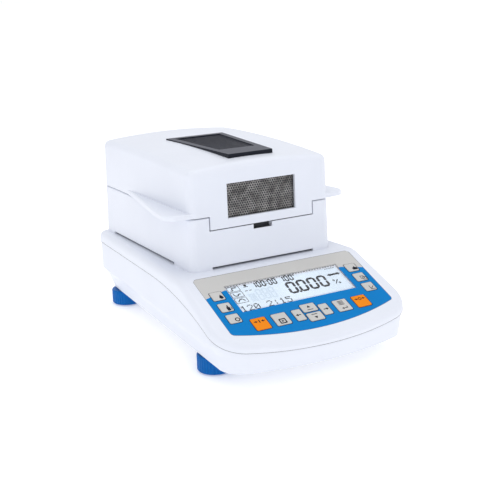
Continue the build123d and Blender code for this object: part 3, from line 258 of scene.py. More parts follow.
class Shader:
    """A material with a Principled shader, and short ways to add nodes to it."""

    def __init__(self, name, **sockets):
        self.material = bpy.data.materials.new(name)
        self.material.use_nodes = True
        self.nodes = self.material.node_tree.nodes
        self.links = self.material.node_tree.links
        self.surface = self.nodes["Principled BSDF"]
        for label, value in sockets.items():
            self.surface.inputs[label.replace("_", " ")].default_value = value

    def add(self, kind, links=None, **settings):
        """New node with links from other outputs; settings are its properties or inputs."""
        node = self.nodes.new("ShaderNode" + kind)
        for key, value in settings.items():
            if hasattr(node, key):
                setattr(node, key, value)
            else:
                node.inputs[key.replace("_", " ")].default_value = value
        for socket, source in (links or {}).items():
            self.links.new(source, node.inputs[socket])
        return node

    def maths(self, operation, first, second=None):
        """Result of an operation on an output; second is a number or another output."""
        node = self.add("Math", {0: first}, operation=operation)
        if isinstance(second, float):
            node.inputs[1].default_value = second
        elif second is not None:
            self.links.new(second, node.inputs[1])
        return node.outputs[0]

    def place(self, scale=(1.0, 1.0, 1.0)):
        """Coordinates in metres, stretched by scale."""
        where = self.add("TexCoord").outputs["Object"]
        return self.add("Mapping", {"Vector": where}, Scale=scale).outputs["Vector"]

    def part_of(self, vector, letter):
        """One component of a vector."""
        return self.add("SeparateXYZ", {0: vector}).outputs[letter]

    def noise(self, size_mm, scale=(1.0, 1.0, 1.0), detail=3.0):
        """Noise with features of about size_mm."""
        at = self.place(scale)
        return self.add("TexNoise", {"Vector": at}, Scale=1000.0 / size_mm, Detail=detail).outputs["Fac"]

    def spread(self, value, low, high):
        """value from 0.35 to 0.65 spread over low to high."""
        node = self.add("MapRange", {"Value": value})
        set_range(node, 0.35, 0.65, low, high)
        return node.outputs["Result"]

    def mix(self, factor, first, second):
        """Colour between first and second, each a colour or an output."""
        node = self.add("Mix", data_type="RGBA")
        self.links.new(factor, node.inputs[0])
        for socket, colour in ((node.inputs[6], first), (node.inputs[7], second)):
            if isinstance(colour, tuple):
                socket.default_value = (*colour, 1.0)
            else:
                self.links.new(colour, socket)
        return node.outputs[2]

    def colour(self, output):
        self.links.new(output, self.surface.inputs["Base Color"])

    def roughness(self, output):
        self.links.new(output, self.surface.inputs["Roughness"])

    def bump(self, height, depth_mm, strength=0.4):
        node = self.add("Bump", {"Height": height}, Distance=depth_mm * MM, Strength=strength)
        self.links.new(node.outputs["Normal"], self.surface.inputs["Normal"])


def set_range(node, *numbers):
    """Limits of a Map Range node: from low, from high, to low, to high."""
    for label, number in zip(("From Min", "From Max", "To Min", "To Max"), numbers):
        node.inputs[label].default_value = number


def tinted(colour, factor):
    return tuple(min(1.0, c * factor) for c in colour)


def moulded(name, colour, rough=0.38, grain=0.7, depth=0.015, shade=0.03, **sockets):
    """Moulded or printed plastic: fine grain, and a faint drift of colour and gloss."""
    s = Shader(name, **sockets)
    drift = s.noise(60.0, detail=2.0)
    grains = s.noise(grain)
    s.colour(s.mix(s.spread(drift, 0.0, 1.0), tinted(colour, 1 - shade), tinted(colour, 1 + shade)))
    s.roughness(s.spread(grains, rough - 0.04, rough + 0.04))
    s.bump(grains, depth)
    return s


def metal(name, colour, rough=0.3, stretch=(1.0, 1.0, 30.0), grain=6.0, depth=0.01):
    """Sheet metal with drawn or brushed lines."""
    s = Shader(name, Metallic=1.0)
    lines = s.noise(grain, stretch, detail=5.0)
    drift = s.noise(35.0, detail=2.0)
    s.colour(s.mix(s.spread(drift, 0.0, 1.0), tinted(colour, 0.92), tinted(colour, 1.06)))
    s.roughness(s.spread(lines, rough - 0.08, rough + 0.1))
    s.bump(lines, depth)
    return s


def overlay_film():
    """Printed film: a grey band above a blue field that steps down at both sides."""
    s = moulded("overlay_film", BLUE, rough=0.42, grain=0.5, depth=0.006, Specular_IOR_Level=PRINT_SHINE)
    at = s.place()
    along = s.add("VectorMath", {0: at}, operation="DOT_PRODUCT")
    along.inputs[1].default_value = PANEL_DOWN
    top = Vector((0.0, PANEL_TOP_Y * MM, PANEL_TOP_Z * MM)).dot(Vector(PANEL_DOWN))
    across = s.maths("ABSOLUTE", s.part_of(at, "X"))
    beyond = s.maths("MAXIMUM", s.maths("SUBTRACT", across, BAND_X * MM), 0.0)
    edge = s.maths("ADD", s.maths("MULTIPLY", beyond, BAND_FALL), BAND_V * MM + top)
    blue = s.maths("GREATER_THAN", along.outputs["Value"], edge)
    drift = s.spread(s.noise(45.0, detail=2.0), 0.0, 1.0)
    grey_print = s.mix(drift, tinted(GREY, 0.98), tinted(GREY, 1.02))
    blue_print = s.mix(drift, tinted(BLUE, 0.97), tinted(BLUE, 1.03))
    s.colour(s.mix(blue, grey_print, blue_print))
    return s


def circuit_board():
    """Solder mask over copper tracks, with soldered dots."""
    s = Shader("circuit_board", Roughness=0.35)
    tracks = s.add("TexBrick", {"Vector": s.place()}, Scale=180.0, Mortar_Size=0.06).outputs["Fac"]
    pads = s.add("TexVoronoi", {"Vector": s.place()}, Scale=260.0).outputs["Distance"]
    dots = s.maths("LESS_THAN", pads, 0.16)
    s.colour(s.mix(dots, s.mix(tracks, BOARD_GREEN, TRACK_GREEN), SOLDER))
    s.bump(tracks, 0.03)
    return s


def clear_window():
    """Clear sheet: lets light straight through, with a faint reflection."""
    s = Shader("clear_window", Base_Color=(1, 1, 1, 1), Roughness=0.08, Alpha=0.04)
    s.roughness(s.spread(s.noise(40.0, detail=2.0), 0.05, 0.11))
    return s


def lamp_glass():
    """Quartz tube, faintly warm and clouded."""
    s = Shader("lamp_glass", Roughness=0.12, Transmission_Weight=0.5, IOR=1.46)
    clouds = s.spread(s.noise(12.0), 0.0, 1.0)
    s.colour(s.mix(clouds, (0.80, 0.66, 0.48), (0.92, 0.84, 0.72)))
    return s


def display():
    """Backlit display glass with a faint grid of cells."""
    s = Shader("display", Roughness=0.3, Emission_Strength=0.07, Emission_Color=(*LCD_PAPER, 1))
    cells = s.add("TexChecker", {"Vector": s.place()}, Scale=1600.0).outputs["Fac"]
    drift = s.spread(s.noise(50.0, detail=1.0), 0.0, 1.0)
    paper = s.mix(drift, tinted(LCD_PAPER, 0.95), tinted(LCD_PAPER, 1.03))
    s.colour(s.mix(s.maths("MULTIPLY", cells, 0.03), paper, LCD_GHOST))
    return s


def pan_aluminium():
    """Rolled aluminium with fine turned rings round the middle of the pan."""
    s = Shader("pan_aluminium", Metallic=1.0)
    low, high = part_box("sample_pan")
    middle = (low + high) / 2
    at = s.add("TexCoord").outputs["Object"]
    centred = s.add("Mapping", {"Vector": at}, vector_type="POINT", Location=(-middle.x, -middle.y, 0.0))
    rings = s.add(
        "TexWave", {"Vector": centred.outputs["Vector"]}, wave_type="RINGS", rings_direction="Z", Scale=180.0,
    )
    s.colour(s.mix(s.noise(30.0), (0.78, 0.79, 0.80), (0.90, 0.91, 0.92)))
    s.roughness(s.spread(s.noise(4.0), 0.22, 0.34))
    s.bump(rings.outputs["Fac"], 0.02)
    return s


def vent_plastic():
    """Slate black moulding, with a painted highlight on its raised rim and painted shade on its sides."""
    s = moulded(
        "vent_plastic", SLATE, rough=0.42, grain=0.5, depth=0.02, shade=0.08, Specular_IOR_Level=0.2,
    )
    where = s.add("TexCoord")
    height = s.part_of(where.outputs["Object"], "Z")
    # Painted highlight on what stands above the plate, painted shade on faces that do not face up
    raised = s.maths("GREATER_THAN", height, (VENT_PLATE_Z + VENT_RIM_RISE) * MM)
    side = s.maths("LESS_THAN", s.part_of(where.outputs["Normal"], "Z"), 0.5)
    s.colour(s.mix(side, s.mix(raised, SLATE, SLATE_PAINTED_HIGHLIGHT), SLATE_PAINTED_SHADE))
    return s


def dark_mesh():
    """Perforated sheet with painted reflections: brighter in patches where it catches the light."""
    s = Shader("dark_mesh", Metallic=1.0)
    patches = s.noise(9.0, detail=2.0)
    # Painted reflection: lighter patches in the mesh's colour
    s.colour(s.mix(s.spread(patches, 0.0, 1.0), MESH_DARK, MESH_PAINTED_REFLECTION))
    s.roughness(s.spread(s.noise(1.0), 0.32, 0.46))
    s.bump(patches, 0.02)
    return s


def build_materials():
    """Every material by its name."""
    made = {name: moulded(name, **looks) for name, looks in MOULDED.items()}
    made.update({name: metal(name, **looks) for name, looks in METALS.items()})
    for build in (
        overlay_film, circuit_board, clear_window, lamp_glass,
        display, pan_aluminium, vent_plastic, dark_mesh,
    ):
        made[build.__name__] = build()
    return made


def dress_nodes(materials):
    """Each CAD node takes the material of its slot in the record."""
    for part in frame["record"]["subparts"]:
        node = frame["nodes"][part["node"]]
        node.data.materials.clear()
        node.data.materials.append(materials[part["material_slot"]].material)


# Meshes

def metres(x, y, z):
    """Place in metres, from millimetres."""
    return Vector((x, y, z)) * MM


def panel_point(x, v, u):
    """Place on the panel in metres, from millimetres in panel coordinates."""
    y = PANEL_TOP_Y - v * math.cos(PANEL_SLOPE) - u * math.sin(PANEL_SLOPE)
    z = PANEL_TOP_Z - v * math.sin(PANEL_SLOPE) + u * math.cos(PANEL_SLOPE)
    return metres(x, y, z)


def new_piece(name, mesh, material, body):
    """A finished piece from a bmesh, riding on a body."""
    bmesh.ops.recalc_face_normals(mesh, faces=mesh.faces)
    data = bpy.data.meshes.new(name)
    mesh.to_mesh(data)
    mesh.free()
    piece = bpy.data.objects.new(name, data)
    bpy.context.scene.collection.objects.link(piece)
    data.materials.append(material.material)
    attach(piece, body)
    return piece


def prism(mesh, outline, place, low, high):
    """Closed prism on an outline of (x, v) points, from height low to high."""
    bottom = [mesh.verts.new(place(x, v, low)) for x, v in outline]
    top = [mesh.verts.new(place(x, v, high)) for x, v in outline]
    mesh.faces.new(top)
    mesh.faces.new(reversed(bottom))
    for i in range(len(outline)):
        j = (i + 1) % len(outline)
        mesh.faces.new((bottom[i], bottom[j], top[j], top[i]))


def ring(mesh, outer, inner, place, low, high):
    """Closed frame between two outlines with the same number of points."""
    loops = [
        [mesh.verts.new(place(x, v, u)) for x, v in loop]
        for loop, u in ((outer, low), (inner, low), (inner, high), (outer, high))
    ]
    count = len(outer)
    for a, b in zip(loops, loops[1:] + loops[:1]):
        for i in range(count):
            j = (i + 1) % count
            mesh.faces.new((a[i], a[j], b[j], b[i]))


def print_on(name, shapes, material, body, height, rings=(), place=panel_point):
    """One flat printed piece made of outlines, and of rings given as outer and inner outline."""
    mesh = bmesh.new()
    for outline in shapes:
        prism(mesh, outline, place, height, height + PRINT_T)
    for outer, inner in rings:
        ring(mesh, outer, inner, place, height, height + PRINT_T)
    return new_piece(name, mesh, material, body)


def box_piece(name, low, high, material, body):
    """Thin plate between two corners, in millimetres."""
    mesh = bmesh.new()
    outline = [(low[0], low[1]), (high[0], low[1]), (high[0], high[1]), (low[0], high[1])]
    prism(mesh, outline, metres, low[2], high[2])
    return new_piece(name, mesh, material, body)


# Outlines

def rounded(x, v, half_x, half_v, radius, steps=4):
    """Rounded rectangle about (x, v)."""
    points = []
    for cx, cv, start in ((1, 1, 0), (-1, 1, 90), (-1, -1, 180), (1, -1, 270)):
        for k in range(steps + 1):
            angle = math.radians(start + 90 * k / steps)
            points.append((
                x + cx * (half_x - radius) + radius * math.cos(angle),
                v + cv * (half_v - radius) + radius * math.sin(angle),
            ))
    return points


def circle(x, v, radius, sides=20):
    angles = (2 * math.pi * k / sides for k in range(sides))
    return [(x + radius * math.cos(a), v + radius * math.sin(a)) for a in angles]


def circle_ring(x, v, outer, inner, sides=20):
    return circle(x, v, outer, sides), circle(x, v, inner, sides)


def bar(x0, v0, x1, v1, width):
    """Straight stroke between two points."""
    length = math.hypot(x1 - x0, v1 - v0)
    across, down = (v0 - v1) / length * width / 2, (x1 - x0) / length * width / 2
    return [
        (x0 + across, v0 + down), (x1 + across, v1 + down),
        (x1 - across, v1 - down), (x0 - across, v0 - down),
    ]


def dashes(x0, v0, x1, v1, count, width, share=0.6):
    """Dashed line."""
    shapes = []
    for n in range(count):
        a, b = n / count, (n + share) / count
        start = (x0 + (x1 - x0) * a, v0 + (v1 - v0) * a)
        end = (x0 + (x1 - x0) * b, v0 + (v1 - v0) * b)
        shapes.append(bar(*start, *end, width))
    return shapes


def triangle(x, v, size, turn):
    """Arrow head pointing right, turned clockwise by quarter turns."""
    points = [(size, 0), (-size * 0.7, -size), (-size * 0.7, size)]
    for _ in range(turn):
        points = [(-pv, px) for px, pv in points]
    return moved(points, x, v)


def moved(outline, x, v, scale=1.0):
    """Outline about the origin, enlarged and brought to (x, v)."""
    return [(x + scale * px, v + scale * pv) for px, pv in outline]


# Display

def digit(kind, x, v, width, height, stroke):
    """Seven-segment digit with its upper left corner at (x, v)."""
    half = height / 2
    t = stroke / 2
    flat = [(0, 0), (t, -t), (width - t, -t), (width, 0), (width - t, t), (t, t)]
    tall = [(0, 0), (t, t), (t, half - t), (0, half), (-t, half - t), (-t, t)]
    places = {
        "a": (flat, 0, 0), "g": (flat, 0, half), "d": (flat, 0, height),
        "f": (tall, 0, 0), "e": (tall, 0, half), "b": (tall, width, 0), "c": (tall, width, half),
    }
    shapes = []
    for letter in SEGMENTS[kind]:
        shape, dx, dv = places[letter]
        upright = moved(shape, dx, dv)
        shapes.append([(x + px + DIGIT_LEAN * (height - pv), v + pv) for px, pv in upright])
    return shapes


def number(text, x, v, step, width, height, stroke):
    """Digits side by side, the first with its upper left corner at (x, v)."""
    shapes = []
    for n, kind in enumerate(text):
        shapes += digit(kind, x + step * n, v, width, height, stroke)
    return shapes


def dot_text(text, x, v):
    """Characters of five by seven square dots."""
    shapes = []
    size = DOT_PITCH * DOT_SHARE
    square = [(0, 0), (size, 0), (size, size), (0, size)]
    for n, character in enumerate(text):
        for row, bits in enumerate(DOTS[character]):
            for column in range(5):
                if bits >> (4 - column) & 1:
                    shapes.append(moved(square, x + (6 * n + column) * DOT_PITCH, v + row * DOT_PITCH))
    return shapes


def display_border(width, height):
    """Dashed lines along the top and bottom, and a line along each side."""
    inset = BORDER_INSET
    shapes = dashes(inset, inset, width - inset, inset, 40, 0.7)
    shapes += dashes(inset, height - inset, width - inset, height - inset, 60, 0.25, 0.8)
    return shapes + [bar(x, 0.9, x, height - 0.7, 0.4) for x in (0.4, width - 0.4)]


def profile_icons():
    """Three framed heating curves: step, ramp and plateau."""
    shapes, rings = [], []
    x = ICON_AT[0]
    for n, curve in enumerate(ICON_CURVES):
        v = ICON_AT[1] + ICON_STEP * n
        rings.append(tuple(rounded(x, v, *frame_size) for frame_size in ICON_FRAME))
        for start, end in zip(curve, curve[1:]):
            shapes.append(moved(bar(*start, *end, ICON_STROKE), x, v))
    return shapes, rings


def small_signs():
    """Marks to the left of the upper row of digits."""
    shapes = [circle(21.0, 2.8, 1.5), bar(18.8, 5.0, 23.2, 5.0, 0.9)]
    return shapes + [bar(x, 10.6, x + 2.6, 10.6, 0.9) for x in (17.4, 21.6)]


def right_signs(width):
    """Two-headed arrow, percent sign and small dashes at the right of the display."""
    x, v = width - ARROW_AT[0], ARROW_AT[1]
    start, length, half = ARROW_HEAD
    shapes = [bar(x - ARROW_HALF, v, x + ARROW_HALF, v, ARROW_WIDTH)]
    for side in (-1, 1):
        tip, back = x + side * (start + length), x + side * start
        shapes.append([(tip, v), (back, v - half), (back, v + half)])
    (x0, v0), (x1, v1) = PERCENT_STROKE
    shapes.append(bar(width - x0, v0, width - x1, v1, 1.0))
    shapes += dashes(width - 15.0, 3.2, width - 3.0, 3.2, 5, 0.9, 0.62)
    return shapes, [circle_ring(width - x, v, *PERCENT_R) for x, v in PERCENT_RINGS]


def display_marks(materials):
    """Everything that the display shows."""
    low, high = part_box("display_window")
    left = low.x / MM
    top = (PANEL_TOP_Z - high.z / MM) / math.sin(PANEL_SLOPE)
    width = high.x / MM - left
    height = (PANEL_TOP_Y - low.y / MM) / math.cos(PANEL_SLOPE) - top
    ink = number(**BIG_NUMBER) + [circle(*BIG_POINT)]
    for text, x, v in SMALL_NUMBERS:
        ink += number(text, x, v, **SMALL_DIGIT)
    ink += [circle(*dot) for dot in SMALL_COLON]
    ink += dot_text(DOT_LINE, DOT_LINE_X, height - DOT_LINE_RISE)
    ink += display_border(width, height)
    curves, frames = profile_icons()
    signs, percent = right_signs(width)
    ink += curves + small_signs() + signs
    rings = [circle_ring(*SMALL_RING)] + frames + percent

    def place(x, v, u):
        return panel_point(left + x, top + v, u)

    print_on("display_ink", ink, materials["lcd_ink"], "base", LCD_U, rings, place)
    ghost = number(**GHOST_NUMBER) + [GHOST_BLOCK]
    print_on("display_ghost", ghost, materials["lcd_ghost"], "base", LCD_U, place=place)


# Keys

def key_place(name):
    """Middle and half sizes of a key's top, in panel millimetres."""
    low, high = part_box(name)
    v0 = (PANEL_TOP_Z + KEY_TOP_U * math.cos(PANEL_SLOPE) - high.z / MM) / math.sin(PANEL_SLOPE)
    v1 = (PANEL_TOP_Y - low.y / MM) / math.cos(PANEL_SLOPE)
    return (low.x + high.x) / 2 / MM, (v0 + v1) / 2, (high.x - low.x) / 2 / MM, (v1 - v0) / 2


def facing_arrows(x, v):
    """Two short arrows that point at each other from x on both sides."""
    shapes = []
    for side, turn in ((-1, 0), (1, 2)):
        shapes.append(triangle(side * x, v, 1.1, turn))
        shapes.append(bar(side * (x + 2.0), v, side * (x + 0.6), v, SIGN_STROKE))
    return shapes


def sheet_sign(x, v):
    """Outline of a small square sheet."""
    return rounded(x, v, 1.8, 1.8, 0.3, 1), rounded(x, v, 1.35, 1.35, 0.2, 1)


def key_signs():
    """Generic sign of each key about the key's middle: its outlines and its rings."""
    lines = [bar(-2.4, -4.6 + 1.3 * n, 2.4, -4.6 + 1.3 * n, SIGN_STROKE) for n in range(4)]
    enter = [
        triangle(-1.4, 3.6, 1.1, 2),
        bar(-1.0, 3.6, 2.6, 3.6, SIGN_STROKE), bar(2.6, 3.9, 2.6, 1.8, SIGN_STROKE),
    ]
    return {
        "key_arrow_left": ([triangle(-1.6, 0, 1.3, 2), bar(-1.4, 0, 1.8, 0, 0.7)], []),
        "key_arrow_right": ([triangle(1.6, 0, 1.3, 0), bar(-1.8, 0, 1.4, 0, 0.7)], []),
        "key_arrow_up": ([triangle(0, -1.0, 1.5, 3), bar(-2.6, 2.4, 2.6, 2.4, SIGN_STROKE)], []),
        "key_arrow_down": ([triangle(0, 1.2, 1.5, 1), bar(-2.6, -2.4, 2.6, -2.4, SIGN_STROKE)], []),
        "key_orange_left": (facing_arrows(2.6, -2.6) + [bar(0, -4.2, 0, -1.0, 0.8)], []),
        "key_orange_right": (facing_arrows(2.8, -2.6), [circle_ring(0, -2.6, 1.5, 0.9)]),
        "key_grey_left": (
            [triangle(0, 2.4, 1.2, 0)], [(rounded(0, 2.4, 2.9, 2.7, 0.8), rounded(0, 2.4, 1.9, 1.7, 0.3))],
        ),
        "key_grey_right": (lines + enter, []),
        "key_left_top": ([circle(2.4, 2.2, 1.7), triangle(2.4, 0.2, 1.3, 3)], []),
        "key_left_middle": (
            [rounded(1.6, 2.2, 1.4, 2.0, 0.5), rounded(1.6, -0.8, 0.6, 0.9, 0.2),
             bar(4.0, 0.4, 4.0, 3.6, SIGN_STROKE)], [],
        ),
        "key_left_bottom": ([], [circle_ring(2.2, 1.8, 2.1, 1.3)]),
        "key_right_top": ([rounded(2.2, 2.0, 2.3, 1.4, 0.6), triangle(2.2, 0.2, 1.2, 3)], []),
        "key_right_middle": ([], [sheet_sign(1.4, 1.0), sheet_sign(2.9, 2.4)]),
        "key_right_bottom": (
            [bar(0.2, 3.6, 4.2, 3.6, 0.5), bar(0.2, 3.6, 0.2, -0.8, 0.5),
             bar(0.6, 3.0, 3.8, 0.2, SIGN_STROKE)], [],
        ),
    }


def key_marks(materials):
    """Dark line round every key on the film, and the sign on its top."""
    signs = key_signs()
    outlines = []
    for part in frame["record"]["subparts"]:
        name = part["node"]
        if not name.startswith("key_"):
            continue
        x, v, half_x, half_v = key_place(name)
        inner = rounded(x, v, half_x + OUTLINE_GAP, half_v + OUTLINE_GAP, 1.6)
        grow = OUTLINE_GAP + OUTLINE_WIDTH
        outlines.append((rounded(x, v, half_x + grow, half_v + grow, 2.0), inner))
        shapes, rings = signs[name]
        shapes = [moved(outline, x, v, SIGN_SCALE) for outline in shapes]
        rings = [tuple(moved(outline, x, v, SIGN_SCALE) for outline in pair) for pair in rings]
        print_on(name + "_sign", shapes, materials["ink"], name, KEY_TOP_U + PRINT_U, rings)
    print_on("key_outlines", [], materials["ink"], "base", PRINT_U, outlines)


# Lid

def fine_mesh(materials):
    """Perforated sheet behind the lid's window, hexagonal cells with six-sided holes."""
    low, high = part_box("window_mesh")
    mesh = bmesh.new()
    pitch = MESH_PITCH * MM
    rise = pitch * math.sqrt(3) / 2
    cell = pitch / math.sqrt(3)
    hole = MESH_HOLE * MM
    corners = [(math.cos(math.radians(30 + 60 * k)), math.sin(math.radians(30 + 60 * k))) for k in range(6)]
    for row in range(int((high.z - low.z) / rise)):
        for column in range(int((high.x - low.x) / pitch)):
            x = low.x + pitch * (column + (0.75 if row % 2 else 0.25))
            z = low.z + rise * (row + 0.5)
            loops = [
                [mesh.verts.new((x + radius * across, y, z + radius * up)) for across, up in corners]
                for radius, y in ((cell, low.y), (hole, low.y), (hole, high.y), (cell, high.y))
            ]
            for a, b in zip(loops, loops[1:]):
                for i in range(6):
                    mesh.faces.new((a[i], a[i - 1], b[i - 1], b[i]))
    bmesh.ops.remove_doubles(mesh, verts=mesh.verts, dist=pitch * 0.02)
    piece = new_piece("window_fine_mesh", mesh, materials["dark_mesh"], "lid")
    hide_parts("window_mesh")


def window_shade_sheet(materials):
    """Painted shade: dark sheet close behind the window's mesh."""
    low, high = (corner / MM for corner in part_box("window_mesh"))
    front = high.y + WINDOW_SHADE_GAP
    box_piece(
        "window_shade_sheet", (low.x, front, low.z), (high.x, front + WINDOW_SHADE_T, high.z),
        materials["shade"], "lid",
    )


def rib_point(x, y, share):
    """Place on a rib in metres: share 0 is in the vent's plate, and 1 is on the rib's top."""
    along = (y - VENT_FIELD_Y[0]) / (VENT_FIELD_Y[1] - VENT_FIELD_Y[0])
    rise = RIB_RISE[0] + (RIB_RISE[1] - RIB_RISE[0]) * along
    return metres(x, y, VENT_PLATE_Z - RIB_SUNK + share * (rise + RIB_SUNK))


def vent_ribs(materials):
    """Fine ribs from front to rear over the slots of the vent, rising with its rim."""
    y0, y1 = VENT_FIELD_Y
    mesh = bmesh.new()
    count = int(VENT_FIELD_HALF[0] / RIB_PITCH)
    half = RIB_WIDTH / 2
    for n in range(-count, count + 1):
        front, rear = (width * n / count for width in VENT_FIELD_HALF)
        outline = [(front - half, y0), (front + half, y0), (rear + half, y1), (rear - half, y1)]
        prism(mesh, outline, rib_point, 0.0, 1.0)
    new_piece("vent_ribs", mesh, materials["vent_plastic"], "lid")


def lid_shadows(materials):
    """Painted shade: dark sheets in the finger recess and in the gap under the lid's tab."""
    front, rear = RECESS_Y
    floor, ceiling = RECESS_Z
    middle = rear - SHADE_SHEET_T
    inner, outer = NOTCH_X
    for name, low, high, material in (
        ("recess_back_shade", (-RECESS_HALF, middle, floor + SHADE_SHEET_T), (RECESS_HALF, rear, ceiling), "shade"),
        ("recess_floor_shade", (-RECESS_HALF, front, floor), (RECESS_HALF, middle, floor + SHADE_SHEET_T), "shade"),
        ("notch_floor_left_shade", (-outer, front, NOTCH_Z), (-inner, NOTCH_REAR_Y, NOTCH_Z + SHADE_SHEET_T), "gap_shade"),
        ("notch_floor_right_shade", (inner, front, NOTCH_Z), (outer, NOTCH_REAR_Y, NOTCH_Z + SHADE_SHEET_T), "gap_shade"),
    ):
        box_piece(name, low, high, materials[material], "base")


# Base

def edge_line(name, node, wanted, drop, radius, material):
    """Thin round line along the edges of a CAD node that are wanted, lowered by drop millimetres."""
    mesh = bmesh.new()
    mesh.from_mesh(frame["nodes"][node].data)
    bmesh.ops.remove_doubles(mesh, verts=mesh.verts, dist=1e-6)
    mesh.normal_update()
    line = bmesh.new()
    made = {}
    for edge in mesh.edges:
        if len(edge.link_faces) != 2 or not wanted(edge):
            continue
        for vert in edge.verts:
            if vert not in made:
                made[vert] = line.verts.new(vert.co - metres(0, 0, drop))
        line.edges.new([made[vert] for vert in edge.verts])
    data = bpy.data.meshes.new(name)
    line.to_mesh(data)
    line.free()
    mesh.free()
    piece = bpy.data.objects.new(name, data)
    bpy.context.scene.collection.objects.link(piece)
    for other in bpy.context.selected_objects:
        other.select_set(False)
    bpy.context.view_layer.objects.active = piece
    piece.select_set(True)
    bpy.ops.object.convert(target="CURVE")
    piece.data.bevel_depth = radius * MM
    piece.data.bevel_resolution = 1
    piece.data.materials.append(material.material)
    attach(piece, "base")


def middle_of(edge):
    return (edge.verts[0].co + edge.verts[1].co) / 2


def is_outer(point, low, high):
    """True on the base's outer wall, false on posts and inner walls."""
    y = point.y / MM
    half = SIDE_HALF_REAR + (SIDE_HALF_FRONT - SIDE_HALF_REAR) * (high.y / MM - y) / (high.y - low.y) * MM
    near_side = abs(point.x) / MM > half - SEAM_BAND
    near_front = y < low.y / MM + FRONT_BAND
    return near_side or near_front or y > high.y / MM - SEAM_BAND


def parting_gap_shade(materials):
    """Painted shade: dark line in the gap between the two shells of the base, along the upper shell's lower
    outer edge.
    """
    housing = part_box("lower_housing")

    def wanted(edge):
        under, wall = sorted(edge.link_faces, key=lambda face: face.normal.z)
        middle = middle_of(edge)
        outward = wall.normal.x * middle.x + wall.normal.y * middle.y
        at_foot_of_wall = under.normal.z < FACES_DOWN and abs(wall.normal.z) < FACES_SIDEWAYS
        return at_foot_of_wall and outward > OUTWARD and is_outer(middle, *housing)

    edge_line("parting_gap_shade", "upper_cover", wanted, GAP_SHADE_R, GAP_SHADE_R, materials["gap_shade"])


def film_gap_shade(materials):
    """Painted shade: dark line in the narrow gap round the printed film."""

    def wanted(edge):
        facing = [face.normal.dot(PANEL_UP) for face in edge.link_faces]
        middle = middle_of(edge) / MM
        x = abs(middle.x)
        v = (PANEL_TOP_Y - middle.y) / math.cos(PANEL_SLOPE)
        beyond = FILM_EDGE_BOTTOM + FILM_EDGE_SAG * (1 - (x / FILM_EDGE_HALF) ** 2)
        on_top = max(facing) > IN_PANEL and min(abs(part) for part in facing) < FACES_SIDEWAYS
        return on_top and (x > FILM_EDGE_HALF or v < FILM_EDGE_TOP or v > beyond)

    edge_line("film_gap_shade", "keypad_overlay", wanted, 0.0, FILM_GAP_SHADE_R, materials["gap_shade"])


def level_parts(materials):
    """Liquid, bubble and ring of the bubble level."""
    low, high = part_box("level_indicator")
    x, y, top = (low.x + high.x) / 2 / MM, (low.y + high.y) / 2 / MM, high.z / MM
    bubble = circle(x + BUBBLE_SHIFT[0], y + BUBBLE_SHIFT[1], BUBBLE_R, 24)
    for name, shapes, rings, depths, material in (
        ("level_liquid", [circle(x, y, LIQUID_R, 32)], [], LIQUID_DEPTH, "level_liquid"),
        ("level_ring", [], [circle_ring(x, y, *LEVEL_RING_R, 32)], LEVEL_RING_DEPTH, "ink"),
        ("level_bubble", [bubble], [], BUBBLE_DEPTH, "white_ink"),
    ):
        mesh = bmesh.new()
        ends = [top - depth for depth in depths]
        for outline in shapes:
            prism(mesh, outline, metres, *ends)
        for outer, inner in rings:
            ring(mesh, outer, inner, metres, *ends)
        new_piece(name, mesh, materials[material], "base")


def rocker_point(x, z, u):
    """Place on the rocker's outer face in metres, from millimetres about its pivot."""
    out = ROCKER_FACE + ROCKER_RISE * abs(x) + u
    turned_x = x * math.cos(ROCKER_TILT) - out * math.sin(ROCKER_TILT)
    turned_y = x * math.sin(ROCKER_TILT) + out * math.cos(ROCKER_TILT)
    return metres(ROCKER_AT[0] + turned_x, ROCKER_AT[1] + turned_y, ROCKER_AT[2] + z)


def rocker_marks(materials):
    """Stroke and ring on the two ends of the mains switch."""
    stroke = bar(ROCKER_MARK_X, -1.8, ROCKER_MARK_X, 1.8, 0.6)
    rings = [circle_ring(-ROCKER_MARK_X, 0, 1.8, 1.3)]
    print_on(
        "rocker_marks", [stroke], materials["white_ink"], "power_rocker",
        ROCKER_MARK_U, rings, rocker_point,
    )


# Studio

def add_floor():
    """Pale floor."""
    bpy.ops.mesh.primitive_plane_add(size=FLOOR_SIZE)
    floor = bpy.context.object
    floor.name = "floor"
    ground = moulded(
        "floor", FLOOR_COLOUR, rough=0.9, grain=3.0, depth=0.0, shade=0.003,
        Emission_Color=(1.0, 1.0, 1.0, 1.0), Emission_Strength=FLOOR_GLOW,
    )
    floor.data.materials.append(ground.material)


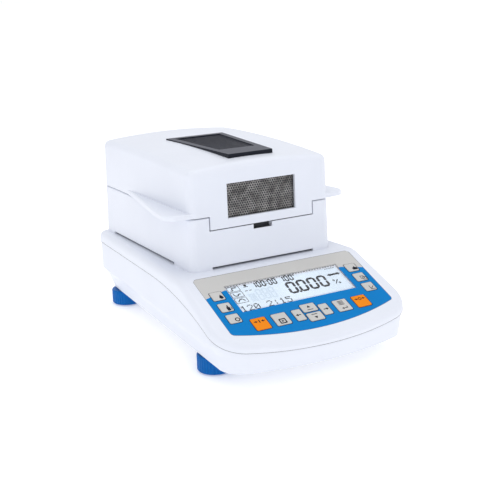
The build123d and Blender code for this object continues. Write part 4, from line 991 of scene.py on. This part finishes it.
def add_sky(scene):
    """Even white light from all round, a little weaker from high up."""
    world = bpy.data.worlds.new("studio")
    world.use_nodes = True
    sky = world.node_tree
    background = sky.nodes["Background"]
    background.inputs["Color"].default_value = SKY_COLOUR
    height = sky.nodes.new("ShaderNodeSeparateXYZ")
    sky.links.new(sky.nodes.new("ShaderNodeTexCoord").outputs["Generated"], height.inputs[0])
    fade = sky.nodes.new("ShaderNodeMapRange")
    set_range(fade, 0.0, SKY_FADE, SKY_HORIZON, SKY_ABOVE)
    sky.links.new(height.outputs["Z"], fade.inputs["Value"])
    sky.links.new(fade.outputs["Result"], background.inputs["Strength"])
    scene.world = world


def add_lights(scene):
    """Large soft lights, all aimed at the analyzer."""
    for name, (at, size, power) in LIGHTS.items():
        light = bpy.data.lights.new(name, "AREA")
        light.size = size
        light.energy = power
        lamp = bpy.data.objects.new(name, light)
        lamp.location = at
        lamp.rotation_euler = (LIGHTS_AIM - lamp.location).to_track_quat("-Z", "Y").to_euler()
        scene.collection.objects.link(lamp)


def add_camera(scene):
    """Camera at the photograph's viewing angle."""
    a, b, c = (math.radians(angle) for angle in (CAMERA_AZIMUTH, CAMERA_ELEVATION, CAMERA_ROLL))
    back = Vector((math.sin(a) * math.cos(b), -math.cos(a) * math.cos(b), math.sin(b)))
    level = Vector((math.cos(a), math.sin(a), 0.0))
    upright = back.cross(level)
    right = math.cos(c) * level + math.sin(c) * upright
    up = math.cos(c) * upright - math.sin(c) * level
    data = bpy.data.cameras.new("camera")
    data.lens = CAMERA_LENS
    data.sensor_width = CAMERA_SENSOR
    camera = bpy.data.objects.new("camera", data)
    turn = Matrix((right, up, back)).transposed().to_4x4()
    camera.matrix_world = Matrix.Translation(CAMERA_AT) @ turn
    scene.collection.objects.link(camera)
    scene.camera = camera


def stage():
    """Pale floor, soft light from all round and the camera."""
    scene = bpy.context.scene
    add_floor()
    add_sky(scene)
    add_lights(scene)
    add_camera(scene)
    scene.view_settings.view_transform = "Standard"


materials = build_materials()
dress_nodes(materials)
display_marks(materials)
key_marks(materials)
fine_mesh(materials)
window_shade_sheet(materials)
vent_ribs(materials)
lid_shadows(materials)
level_parts(materials)
rocker_marks(materials)
parting_gap_shade(materials)
film_gap_shade(materials)
stage()
